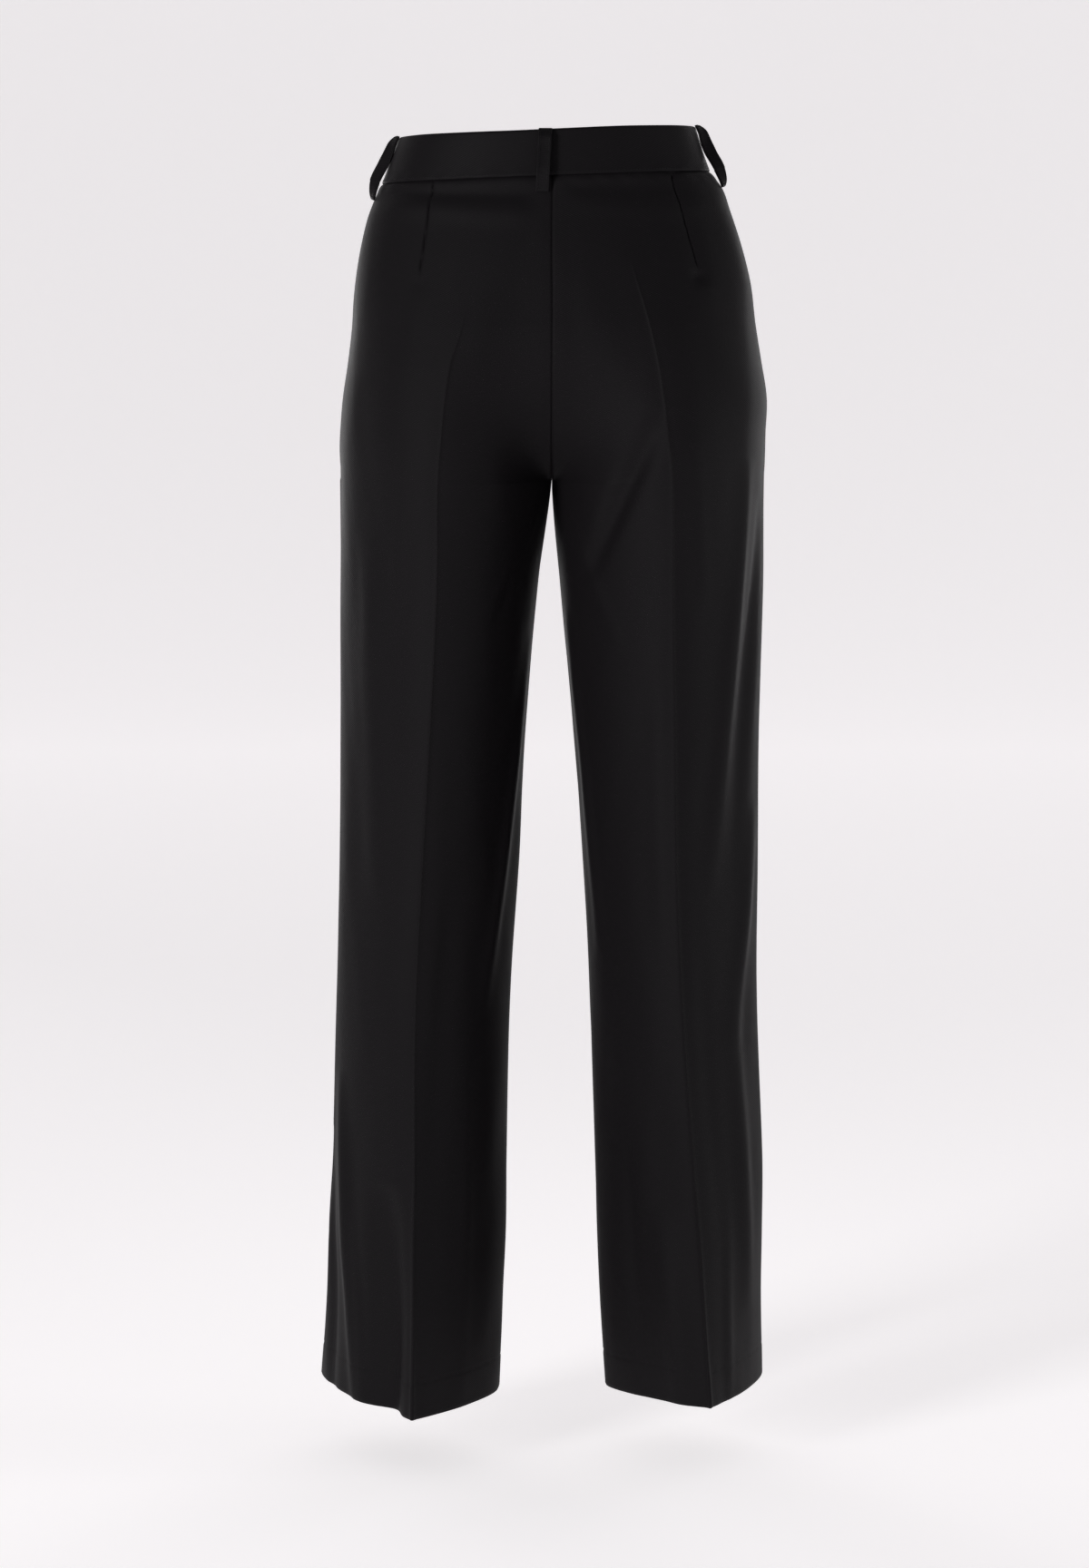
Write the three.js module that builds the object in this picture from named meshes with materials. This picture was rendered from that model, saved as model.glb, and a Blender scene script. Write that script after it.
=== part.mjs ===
// Wide-leg trousers as worn, with no wearer: a high waistband on five belt loops, two back and two front panels with
// pressed creases, slanted pockets, a fly that laps right over left, turned-up hems and one button.
// Millimetres, +Z up. The origin is the centre of the waist, level with the top of the waistband.
// The front faces -Y, and the wearer's left is +X.
import * as THREE from "three";

// Driving dimensions
const CLOTH = 1.8; // wall of a panel
const SEAM_GAP = 0.3; // between two pieces that are sewn together
const WAISTBAND_HEIGHT = 38;
const WAISTBAND_WALL = 2.8; // two layers and their stiffener
const WAISTBAND_PROUD = 0.6; // how far it stands out from the panels below it
const WAIST_TILT = 0.038; // the waist drops towards the wearer's left by this slope
const WAIST_TILT_END = -260; // and is level from here down
const OVAL_POWER = 2.2; // squareness of the waist's oval
const CROTCH_Z = -292;
const BACK_RISE_CURVE = 130; // height over which the centre back seam curves under
const FRONT_RISE_CURVE = 105;
const LEG_FORM_TOP = -60; // the oval starts to part into two legs here
const LEG_FORM_END = -280;
const CREASE_TOP = -110; // the pressed creases start here
const CREASE_PINCH = 0.9; // how sharp they are at the hem, from 0, round, to 1
const CREASE_GROWTH = 0.7;
const CREASE_CURVE = 1.5; // a fully pressed section's shape, between 1, straight, and 2, a parabola
const WEB_BLEND = 5; // how tightly the seat's surface follows the legs where they meet
const HEM_TILT_START = -850; // below here the level rows start to drop towards the back
const HEM_TURN_UP = 30;
const HEM_WALL = 1.2;
const FLY_LAP = 4; // how far the right front laps over the left
const FLY_SINK = CLOTH + 0.9; // how far the left front lies below it
const POCKET_REACH = 0.42; // the pocket mouth's top, in quarters of the leg forward of the side seam
const POCKET_SINK = 0.9; // how far the pocket's facing lies below its mouth
const CLOSURE_LAP = 28; // the waistband's right end laps this far past the centre front
const CLOSURE_UNDERLAP = 8;
const CLOSURE_LIFT = WAISTBAND_WALL + 0.6;
const LOOP = { width: 11, wall: 2.4, belowSeam: 14, contact: 0.4 };
const BUTTON = { radius: 7.5, thickness: 2.6, hole: 0.9, holeSpacing: 1.9, bevel: 0.4 };
const MITRE_LIMIT = 0.5;
const QUARTER_STEPS = 8; // columns from the side seam to a crease, and from there to the inseam
const BELOW_CROTCH_STEPS = 16;

const INK = "#1b1a1c";
const INK_DEEP = "#151416";
const HORN = "#101012";

// Each leg's sections, worn: the side and inner outline, and where the two pressed creases run.
const COLUMNS = ["z", "outer", "inner", "sideY", "backX", "backY", "frontX", "frontY"];
const LEFT_LEG = table(COLUMNS, [
  [0, 127, 0, 0, 58, 84, 56, -84],
  [-38, 142, 0, 0, 61, 90, 60, -90],
  [-52, 149, 0, 0, 63, 95, 62, -93],
  [-70, 155.5, 0, 0, 64, 100, 66, -96],
  [-100, 162, 0, 0, 65, 109, 71, -100],
  [-131, 166, 0, 0, 68, 116, 76, -103],
  [-162, 168, 0, 0, 74, 122, 80, -105],
  [-192, 171.5, 0, 0, 83, 124, 84, -107],
  [-223, 176, 0, 0, 88, 123, 86, -108],
  [-254, 178.5, 0, 0, 91, 121, 88, -109],
  [-292, 178.5, 0, 0, 94, 116, 90, -110],
  [-377, 178.5, 11.5, 0, 95, 107, 94, -111],
  [-500, 179, 22, 0, 101, 98, 99, -112],
  [-623, 180.5, 28.5, 0, 108, 93, 104, -112],
  [-746, 184, 36, 0, 114, 94, 108, -114],
  [-869, 188, 38.5, -8, 115, 97, 111, -118],
  [-930, 191.5, 39, -18, 116, 99, 112, -121],
  [-992, 193.5, 41.5, -32, 116, 102, 113, -125],
  [-1069, 199.5, 45, -50, 117, 105, 114, -131],
]);
const RIGHT_LEG = table(COLUMNS, [
  [0, 119, 0, 0, 54, 84, 54, -84],
  [-38, 132, 0, 0, 57, 90, 58, -90],
  [-52, 142.5, 0, 0, 58, 95, 61, -93],
  [-70, 149, 0, 0, 59, 100, 66, -96],
  [-100, 159, 0, 0, 62, 109, 71, -100],
  [-131, 167, 0, 0, 71, 116, 76, -103],
  [-162, 171, 0, 0, 80, 122, 80, -105],
  [-192, 176, 0, 0, 87, 124, 84, -107],
  [-223, 181, 0, 0, 92, 123, 86, -108],
  [-254, 180, 0, 0, 96, 121, 88, -109],
  [-292, 179, 0, 0, 99, 116, 90, -110],
  [-377, 178.5, 6.5, 0, 100, 106, 92, -111],
  [-500, 175.5, 18, 0, 102, 95, 95, -111],
  [-623, 175, 27, 0, 104, 89, 97, -111],
  [-746, 175, 33, 0, 110, 87, 99, -112],
  [-869, 180, 37, -4, 119, 86, 101, -116],
  [-930, 180.5, 38.5, -12, 124, 85, 102, -119],
  [-992, 180.5, 41, -24, 128, 84, 103, -122],
  [-1066, 182, 46, -40, 133, 83, 104, -127],
]);
// The centre seams' depth above the curve that runs under the crotch.
const CENTRE = table(["z", "back", "front"], [
  [0, 86, -86],
  [-38, 90, -92],
  [-70, 98, -97],
  [-100, 105, -100],
  [-131, 110, -102],
  [-162, 113, -103],
  [-187, 114, -103],
]);
// The largest folds. u runs round a leg: 0 side seam, 1 back crease, 2 inseam, -1 front crease, -2 inseam.
// depth is out (+) or in (-), and width is the fold's half width.
const FOLD_COLUMNS = ["u", "z", "toU", "toZ", "depth", "width"];
const LEFT_FOLDS = table(FOLD_COLUMNS, [
  [0.42, -330, 0.5, -640, 3, 16],
  [0.14, -790, 0.42, -1110, 5, 10],
  [0.02, -840, 0.2, -1110, -4, 10],
  [0.62, -880, 0.6, -1160, -13, 18],
  [1.9, -420, 1.66, -740, 3.5, 8],
  [1.35, -600, 1.25, -980, -3, 14],
  [-0.45, -360, -0.62, -820, 4, 14],
  [-0.25, -700, -0.4, -1090, -5, 14],
  [-1.45, -330, -1.7, -620, 4, 12],
]);
const RIGHT_FOLDS = table(FOLD_COLUMNS, [
  [0.34, -270, 0.6, -640, 5, 11],
  [0.16, -300, 0.4, -640, -4, 11],
  [0.14, -560, 0.4, -770, 4.5, 11],
  [0.4, -720, 0.28, -1000, 4, 12],
  [1.05, -245, 1.45, -400, -6, 12],
  [1.88, -395, 1.78, -700, 3, 8],
  [1.4, -900, 1.35, -1100, 6, 16],
  [-0.5, -340, -0.6, -780, 4, 14],
  [-0.2, -640, -0.35, -1050, -4, 14],
  [-1.5, -320, -1.72, -600, 4, 12],
]);
const LEGS = {
  left: { side: 1, sections: LEFT_LEG, folds: LEFT_FOLDS, hem: -1069, hemTilt: 0.05, loopBulge: 1 },
  right: { side: -1, sections: RIGHT_LEG, folds: RIGHT_FOLDS, hem: -1066, hemTilt: 0.03, loopBulge: 1.45 },
};

function table(columns, rows) {
  return rows.map((row) => Object.fromEntries(columns.map((name, i) => [name, row[i]])));
}

const clamp = (value) => Math.min(1, Math.max(0, value));
const mix = (a, b, share) => a + (b - a) * share;
const smooth = (value) => clamp(value) ** 2 * (3 - 2 * clamp(value));
const ramp = (value, from, to) => smooth((value - from) / (to - from));

// A column's value at z, on a smooth curve through the rows, which run from the highest z to the lowest.
function at(rows, column, z) {
  const last = rows.length - 1;
  if (z >= rows[0].z) return rows[0][column];
  if (z <= rows[last].z) return rows[last][column];
  const i = rows.findIndex((row, k) => z >= rows[k + 1].z);
  const slope = (k) => {
    const low = rows[Math.max(0, k - 1)];
    const high = rows[Math.min(last, k + 1)];
    return (high[column] - low[column]) / (high.z - low.z);
  };
  const span = rows[i + 1].z - rows[i].z;
  const t = (z - rows[i].z) / span;
  return (
    rows[i][column] * (1 + 2 * t) * (1 - t) ** 2 +
    slope(i) * span * t * (1 - t) ** 2 +
    rows[i + 1][column] * t * t * (3 - 2 * t) +
    slope(i + 1) * span * t * t * (t - 1)
  );
}

// Depth of the centre back or centre front seam.
function centreDepth(z, rear) {
  const column = rear ? "back" : "front";
  const rise = rear ? BACK_RISE_CURVE : FRONT_RISE_CURVE;
  const start = CROTCH_Z + rise;
  if (z >= start) return at(CENTRE, column, z);
  const left = 1 - clamp((z - CROTCH_Z) / rise);
  return at(CENTRE, column, start) * Math.sqrt(1 - left * left);
}

// A quarter of a leg's section, from its widest point at t = 0 to its crease at t = 1.
function quarter(wide, deep, t, pinch) {
  const angle = (t * Math.PI) / 2;
  const along = Math.sin(angle);
  return [wide * mix(Math.cos(angle), 1 - along ** CREASE_CURVE, pinch), deep * along];
}

// The smooth form at level z and round position u, as if both legs were the wearer's left one.
function section(leg, z, u) {
  const rear = u >= 0;
  const t = Math.abs(u);
  const value = (column) => at(leg.sections, column, z);
  const creaseX = value(rear ? "backX" : "frontX");
  const creaseY = value(rear ? "backY" : "frontY");
  const sideY = value("sideY");
  const outer = value("outer");
  const open = z <= CROTCH_Z; // the legs have parted
  const innerX = open ? value("inner") : 0;
  const innerY = open ? 0 : centreDepth(z, rear);
  const pinch = CREASE_PINCH * clamp((CREASE_TOP - z) / (CREASE_TOP - leg.hem)) ** CREASE_GROWTH;

  const turn = Math.acos((creaseX / outer) ** (OVAL_POWER / 2));
  const angle = t < 1 ? turn * t : mix(turn, Math.PI / 2, t - 1);
  const ovalX = outer * Math.max(0, Math.cos(angle)) ** (2 / OVAL_POWER);
  const ovalY = sideY + (innerY - sideY) * Math.sin(angle) ** (2 / OVAL_POWER);

  let legX, legY;
  if (t <= 1) {
    const [x, y] = quarter(outer - creaseX, creaseY - sideY, t, pinch);
    legX = creaseX + x;
    legY = sideY + y;
  } else {
    const [x, y] = quarter(creaseX - innerX, creaseY, 2 - t, pinch);
    const web = Math.abs(innerY) ** WEB_BLEND * (1 - (y / creaseY) ** WEB_BLEND);
    const joined = (Math.abs(y) ** WEB_BLEND + web) ** (1 / WEB_BLEND);
    const round = (1 - clamp((z - CROTCH_Z) / BACK_RISE_CURVE)) ** 1.5;
    legX = mix(mix(creaseX, innerX, t - 1), creaseX - x, round);
    legY = mix(mix(creaseY, innerY, smooth(t - 1)), Math.sign(creaseY) * joined, round);
  }
  const form = ramp(z, LEG_FORM_TOP, LEG_FORM_END);
  return [mix(ovalX, legX, form), mix(ovalY, legY, form)];
}

// How far the folds push the cloth out at level z and round position u.
function foldDepth(leg, z, u) {
  let depth = 0;
  for (const fold of leg.folds) {
    const along = (z - fold.z) / (fold.toZ - fold.z);
    if (along <= 0 || along >= 1) continue;
    const [x, y] = section(leg, z, u);
    const [foldX, foldY] = section(leg, z, mix(fold.u, fold.toU, along));
    const away = Math.hypot(x - foldX, y - foldY) / fold.width;
    depth += fold.depth * Math.exp(-away * away) * Math.sin(Math.PI * along) ** 0.7;
  }
  return depth;
}

// A point of the cloth's outer face, in the wearer's left leg's place. Both legs are worked out there.
function clothPoint(leg, z, u) {
  const [x, y] = section(leg, z, u);
  const waistDrop = WAIST_TILT * ramp(z, WAIST_TILT_END, -WAISTBAND_HEIGHT) * leg.side * x;
  const hemDrop = leg.hemTilt * ramp(z, HEM_TILT_START, leg.hem) * y;
  return new THREE.Vector3(Math.max(x, SEAM_GAP / 2), y, z - waistDrop - hemDrop);
}

const move = (point, direction, distance) => point.clone().addScaledVector(direction, distance);

// The outward direction at each point of a grid of rows, longer at a fold, so that a moved face keeps its distance.
// Rows that isClosed names run on from their end to their start.
function outwards(points, isClosed) {
  return points.map((row, i) =>
    row.map((point, j) => {
      const last = row.length - 1;
      const closed = isClosed(i);
      const before = row[j > 0 ? j - 1 : closed ? last - 1 : 0];
      const after = row[j < last ? j + 1 : closed ? 1 : last];
      const above = points[Math.max(0, i - 1)][j];
      const below = points[Math.min(points.length - 1, i + 1)][j];
      const down = below.clone().sub(above);
      const faces = [point.clone().sub(before), after.clone().sub(point)]
        .filter((along) => along.lengthSq() > 0)
        .map((along) => down.clone().cross(along).normalize());
      const middle = faces.reduce((sum, face) => sum.add(face), new THREE.Vector3()).normalize();
      return middle.divideScalar(Math.max(MITRE_LIMIT, middle.dot(faces[0])));
    }),
  );
}

// A closed wall between two grids of points, the outer and the inner face. side -1 mirrors it to the wearer's right.
function wall(outer, inner, { side = 1, ring = false } = {}) {
  const rows = outer.length;
  const columns = outer[0].length;
  const positions = [];
  const put = (...corners) => {
    const list = side > 0 ? corners : corners.toReversed();
    for (const corner of list) positions.push(corner.x * side, corner.y, corner.z);
  };
  const quad = (a, b, c, d) => {
    put(a, b, c);
    put(a, c, d);
  };
  for (let i = 0; i < rows - 1; i++)
    for (let j = 0; j < columns - 1; j++) {
      quad(outer[i][j], outer[i + 1][j], outer[i + 1][j + 1], outer[i][j + 1]);
      quad(inner[i][j], inner[i][j + 1], inner[i + 1][j + 1], inner[i + 1][j]);
    }
  const end = rows - 1;
  for (let j = 0; j < columns - 1; j++) {
    quad(outer[0][j], outer[0][j + 1], inner[0][j + 1], inner[0][j]);
    quad(outer[end][j], inner[end][j], inner[end][j + 1], outer[end][j + 1]);
  }
  if (!ring)
    for (let i = 0; i < rows - 1; i++) {
      const far = columns - 1;
      quad(outer[i][0], inner[i][0], inner[i + 1][0], outer[i + 1][0]);
      quad(outer[i][far], outer[i + 1][far], inner[i + 1][far], inner[i][far]);
    }
  return new THREE.BufferGeometry().setAttribute("position", new THREE.Float32BufferAttribute(positions, 3));
}

// The row levels: the seat, the curve under the crotch, and the leg down to its hem.
const SEAT_LEVELS = [-WAISTBAND_HEIGHT - SEAM_GAP, -52, -68, -86, -108, -134];
const CURVE_LEVELS = [90, 75, 60, 45, 30, 15, 0].map(
  (degrees) => CROTCH_Z + BACK_RISE_CURVE * (1 - Math.cos(THREE.MathUtils.degToRad(degrees))),
);
const THIGH_LEVELS = [-300, -314, -334, -360, -390];
const POCKET_BOTTOM = CURVE_LEVELS[1];
const FLY_TOP_OF_CURVE = CURVE_LEVELS[0];

function levelsOf(leg) {
  const from = THIGH_LEVELS.at(-1);
  const shin = Array.from({ length: BELOW_CROTCH_STEPS }, (_, i) =>
    mix(from, leg.hem + HEM_TURN_UP, (i + 1) / BELOW_CROTCH_STEPS),
  );
  return [...SEAT_LEVELS, ...CURVE_LEVELS, ...THIGH_LEVELS, ...shin, leg.hem];
}

// Round positions of the columns, from the centre front or inseam, by the front, side and back, to the other end.
const INNER_FRONT = [-2, -1.9, -1.8, -1.65, -1.5, -1.35, -1.22, -1.1];
const FRONT_COLUMNS = INNER_FRONT.length + QUARTER_STEPS;
const ROUND = [
  ...INNER_FRONT,
  ...Array.from({ length: 3 * QUARTER_STEPS + 1 }, (_, i) => i / QUARTER_STEPS - 1),
];

// Where the pocket mouth crosses level z.
const pocketMouth = (z) => -POCKET_REACH * clamp((z - POCKET_BOTTOM) / (SEAT_LEVELS[0] - POCKET_BOTTOM));

// The whole of a leg as one grid of outer points with their outward directions. From the side seam forward, the
// columns close up on the pocket mouth, where mouth is true.
function legGrid(leg, levels, mouth) {
  const place = (z, u) => (mouth && u > -1 && u <= 0 ? mix(-1, pocketMouth(z), u + 1) : u);
  const isClosed = (i) => levels[i] <= CROTCH_Z;
  const smoothPoints = levels.map((z) => ROUND.map((u) => clothPoint(leg, z, place(z, u))));
  const directions = outwards(smoothPoints, isClosed);
  const points = smoothPoints.map((row, i) =>
    row.map((point, j) => {
      const folded = move(point, directions[i][j], foldDepth(leg, levels[i], place(levels[i], ROUND[j])));
      folded.x = Math.max(folded.x, SEAM_GAP / 2);
      return folded;
    }),
  );
  return { points, directions: outwards(points, isClosed) };
}

// A grid moved along its outward directions. It never passes the middle between the legs.
function moved(grid, distance) {
  return grid.points.map((row, i) =>
    row.map((point, j) => {
      const there = move(point, grid.directions[i][j], distance);
      there.x = Math.max(there.x, SEAM_GAP / 2);
      return there;
    }),
  );
}

// Draws a row's end points in by half a seam gap.
function trimmed(rows, { start = true, end = true } = {}) {
  const pull = (point, neighbour) => move(point, neighbour.clone().sub(point).normalize(), SEAM_GAP / 2);
  return rows.map((row) => {
    const last = row.length - 1;
    const copy = [...row];
    if (start) copy[0] = pull(row[0], row[1]);
    if (end) copy[last] = pull(row[last], row[last - 1]);
    return copy;
  });
}

const columnsOf = (rows, from, to) => rows.map((row) => row.slice(from, to + 1));

// A panel is one piece of cloth from the waistband to the hem. Its solid is parted at the crotch and the knee into
// three simpler lengths, so that their collision leaves the hips and the legs open.
const LENGTHS = ["seat", "thigh", "shin"];
const KNEE_STEP = 7;
const CROTCH_ROW = SEAT_LEVELS.length + CURVE_LEVELS.length - 1;
const PARTING_ROWS = [CROTCH_ROW, CROTCH_ROW + THIGH_LEVELS.length + KNEE_STEP];

// Parts a panel's rows, with a seam's gap at each parting.
function parted(rows) {
  const draw = (row, next) =>
    row.map((point, j) => move(point, next[j].clone().sub(point).normalize(), SEAM_GAP / 2));
  const ends = [0, ...PARTING_ROWS, rows.length - 1];
  return LENGTHS.map((_, k) => {
    const part = rows.slice(ends[k], ends[k + 1] + 1);
    const last = part.length - 1;
    const first = k > 0 ? draw(part[0], part[1]) : part[0];
    const end = k < LENGTHS.length - 1 ? draw(part[last], part[last - 1]) : part[last];
    return [first, ...part.slice(1, last), end];
  });
}

// The geometries of a panel's lengths, from the top down.
function panelGeometries(outer, inner, side) {
  const inners = parted(trimmed(inner));
  return parted(trimmed(outer)).map((part, k) => wall(part, inners[k], { side }));
}

function backPanel(leg) {
  const grid = legGrid(leg, levelsOf(leg), false);
  const cut = (rows) => columnsOf(rows, FRONT_COLUMNS, ROUND.length - 1);
  return panelGeometries(cut(moved(grid, 0)), cut(moved(grid, -CLOTH)), leg.side);
}

// The front panel. At the fly the right one's edge laps over the left one's, which lies sunk below it.
function frontPanel(leg) {
  const levels = levelsOf(leg);
  const grid = legGrid(leg, levels, true);
  const laps = leg.side < 0;
  const sunkColumns = 2;
  const shape = (rows) =>
    columnsOf(rows, 0, FRONT_COLUMNS).map((row, i) =>
      row.map((point, j) => {
        const lapHere = laps && j === 0 && levels[i] >= FLY_TOP_OF_CURVE;
        const sunkHere = !laps && j < sunkColumns && levels[i] >= POCKET_BOTTOM;
        if (lapHere) return new THREE.Vector3(-FLY_LAP, point.y, point.z);
        return sunkHere ? move(point, grid.directions[i][j], -FLY_SINK) : point;
      }),
    );
  return panelGeometries(shape(moved(grid, 0)), shape(moved(grid, -CLOTH)), leg.side);
}

// The facing that shows in the corner between the pocket mouth, the waistband and the side seam.
function pocketFacing(leg) {
  const levels = levelsOf(leg).filter((z) => z > POCKET_BOTTOM);
  levels.push(mix(levels.at(-1), POCKET_BOTTOM, 0.83));
  const steps = 4;
  const points = levels.map((z) =>
    Array.from({ length: steps + 1 }, (_, k) => clothPoint(leg, z, mix(pocketMouth(z), 0, k / steps))),
  );
  const directions = outwards(points, () => false);
  const sink = (distance) =>
    points.map((row, i) =>
      row.map((point, k) => move(point, directions[i][k], distance - POCKET_SINK * (1 - k / steps))),
    );
  return wall(trimmed(sink(0)), trimmed(sink(-CLOTH)), { side: leg.side });
}

// The hem allowance, turned up inside the leg.
function hemTurnUp(leg) {
  const grid = legGrid(leg, levelsOf(leg), false);
  const inside = (distance) => moved(grid, -distance).slice(-2);
  const outer = inside(CLOTH + SEAM_GAP);
  const inner = inside(CLOTH + SEAM_GAP + HEM_WALL);
  return wall(outer, inner, { side: leg.side, ring: true });
}

// Points on the waist's outer face, the wearer's right ones mirrored into place.
function waistPoint(leg, z, u) {
  const point = clothPoint(leg, z, u);
  if (Math.abs(u) === 2) point.x = 0;
  point.x *= leg.side;
  return point;
}

// The waistband runs from under its lap, by the wearer's left, back and right, and over its own start.
function waistband() {
  const { left, right } = LEGS;
  const nearFront = (leg, x) => -2 + x / at(leg.sections, "frontX", -WAISTBAND_HEIGHT / 2);
  const ring = ROUND.slice(1, -1);
  const stops = [
    { leg: right, u: nearFront(right, CLOSURE_UNDERLAP) },
    { leg: left, u: -2 },
    ...ring.map((u) => ({ leg: left, u })),
    { leg: left, u: 2 },
    ...ring.toReversed().map((u) => ({ leg: right, u })),
    { leg: right, u: -2 },
    ...[0.35, 0.7, 1].map((share) => ({ leg: left, u: nearFront(left, CLOSURE_LAP * share) })),
  ];
  const liftFrom = stops.length - 8;
  const liftTo = stops.length - 5;
  const levels = [0, -WAISTBAND_HEIGHT / 2, -WAISTBAND_HEIGHT];
  const points = levels.map((z) => stops.map(({ leg, u }) => waistPoint(leg, z, u)));
  const directions = outwards(points, () => false);
  const face = (distance) =>
    points.map((row, i) =>
      row.map((point, j) => {
        const lift = CLOSURE_LIFT * clamp((j - liftFrom) / (liftTo - liftFrom));
        return move(point, directions[i][j], distance + lift);
      }),
    );
  return wall(face(WAISTBAND_PROUD), face(WAISTBAND_PROUD - WAISTBAND_WALL));
}

// The directions along, up and out of the waistband.
function waistFrame(leg, u) {
  const z = -WAISTBAND_HEIGHT / 2;
  const step = 0.05;
  const along = waistPoint(leg, z, u + step).sub(waistPoint(leg, z, u - step)).multiplyScalar(leg.side);
  const upward = waistPoint(leg, z / 2, u).sub(waistPoint(leg, z * 1.5, u)).normalize();
  const outward = along.cross(upward).normalize();
  return { sideways: upward.clone().cross(outward), upward, outward };
}

// How far a belt loop stands off the cloth behind it, down its length.
const LOOP_STAND_OFF = table(["share", "off"], [
  [0, 0],
  [0.04, 2],
  [0.13, 5.4],
  [0.3, 5.4],
  [0.48, 6.2],
  [0.64, 6.8],
  [0.78, 6],
  [0.9, 2.6],
  [1, 0],
]);

function beltLoop(leg, u, bulge) {
  const { sideways, outward } = waistFrame(leg, u);
  const bottom = -WAISTBAND_HEIGHT - LOOP.belowSeam;
  const face = (extra) =>
    LOOP_STAND_OFF.map(({ share, off }) => {
      const z = bottom * share;
      const proud = z > -WAISTBAND_HEIGHT ? WAISTBAND_PROUD : 0;
      const middle = move(waistPoint(leg, z, u), outward, proud + LOOP.contact + off * bulge + extra);
      return [-0.5, 0.5].map((share) => move(middle, sideways, share * LOOP.width));
    });
  return wall(face(LOOP.wall), face(0));
}

// A flat button with a rounded rim and four holes, on the waistband's lapped end.
function button() {
  const { radius, thickness, hole, holeSpacing, bevel } = BUTTON;
  const disc = new THREE.Shape().absarc(0, 0, radius - bevel, 0, 2 * Math.PI);
  for (const x of [-1, 1])
    for (const y of [-1, 1])
      disc.holes.push(new THREE.Path().absarc(x * holeSpacing, y * holeSpacing, hole, 0, 2 * Math.PI, true));
  return new THREE.ExtrudeGeometry(disc, {
    depth: thickness - 2 * bevel,
    bevelThickness: bevel,
    bevelSize: bevel,
    bevelSegments: 1,
    curveSegments: 10,
  }).translate(0, 0, bevel);
}

const cloth = (color) => new THREE.MeshStandardMaterial({ color, roughness: 0.88, metalness: 0 });
const PANEL_CLOTH = cloth(INK);
const BAND_CLOTH = cloth(INK);
const INNER_CLOTH = cloth(INK_DEEP);
const BUTTON_HORN = new THREE.MeshStandardMaterial({ color: HORN, roughness: 0.35, metalness: 0 });

const trousers = new THREE.Group();

function add(name, geometry, material) {
  const mesh = new THREE.Mesh(geometry, material);
  mesh.name = name;
  trousers.add(mesh);
  return mesh;
}

for (const [name, leg] of Object.entries(LEGS)) {
  backPanel(leg).forEach((geometry, k) => add(`back_${name}_${LENGTHS[k]}`, geometry, PANEL_CLOTH));
  frontPanel(leg).forEach((geometry, k) => add(`front_${name}_${LENGTHS[k]}`, geometry, PANEL_CLOTH));
  add(`pocket_${name}`, pocketFacing(leg), PANEL_CLOTH);
  add(`hem_${name}`, hemTurnUp(leg), INNER_CLOTH);
  add(`loop_side_${name}`, beltLoop(leg, 0.08, leg.loopBulge), BAND_CLOTH);
  add(`loop_front_${name}`, beltLoop(leg, -1, 1.1), BAND_CLOTH);
}
add("waistband", waistband(), BAND_CLOTH);
add("loop_back", beltLoop(LEGS.left, 1.93, 1.1), BAND_CLOTH);

const fastening = add("button", button(), BUTTON_HORN);
const buttonU = -1.72;
const buttonFrame = waistFrame(LEGS.left, buttonU);
const buttonOff = WAISTBAND_PROUD + CLOSURE_LIFT + SEAM_GAP + 0.2;
fastening.position.copy(
  move(waistPoint(LEGS.left, -WAISTBAND_HEIGHT / 2, buttonU), buttonFrame.outward, buttonOff),
);
fastening.setRotationFromMatrix(
  new THREE.Matrix4().makeBasis(buttonFrame.sideways, buttonFrame.upward, buttonFrame.outward),
);

export default trousers;
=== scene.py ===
"""Dresses the palazzo pants: shells of near-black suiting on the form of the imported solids.

The shells carry what the solids leave out: pressed crease edges, darts, sewn ditches, drag lines,
turned edges and stitching. Lengths are in millimetres, on the solids' axes, until a mesh is made of
them in metres. Each leg is worked out in the place of the wearer's left one, and the right one is
mirrored into place.
"""

from __future__ import annotations

import logging
import math
from dataclasses import dataclass, field
from enum import Enum

import bmesh
import bpy
import numpy as np
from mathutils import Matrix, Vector

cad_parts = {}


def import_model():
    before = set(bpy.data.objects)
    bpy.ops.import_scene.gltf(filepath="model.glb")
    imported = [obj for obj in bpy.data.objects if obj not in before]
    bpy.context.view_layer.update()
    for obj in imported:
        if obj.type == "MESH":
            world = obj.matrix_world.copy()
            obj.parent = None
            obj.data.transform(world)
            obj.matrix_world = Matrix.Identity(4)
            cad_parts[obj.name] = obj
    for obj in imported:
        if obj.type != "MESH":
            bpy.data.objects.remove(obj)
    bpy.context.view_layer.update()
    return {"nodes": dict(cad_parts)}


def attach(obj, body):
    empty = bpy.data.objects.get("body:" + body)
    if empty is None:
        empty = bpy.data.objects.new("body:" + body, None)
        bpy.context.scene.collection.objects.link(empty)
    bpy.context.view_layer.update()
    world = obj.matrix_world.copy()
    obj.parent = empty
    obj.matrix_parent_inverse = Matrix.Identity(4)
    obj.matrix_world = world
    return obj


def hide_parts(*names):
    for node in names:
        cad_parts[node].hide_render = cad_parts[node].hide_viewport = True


log = logging.getLogger("palazzo_pants")

Value = float | np.ndarray

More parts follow.
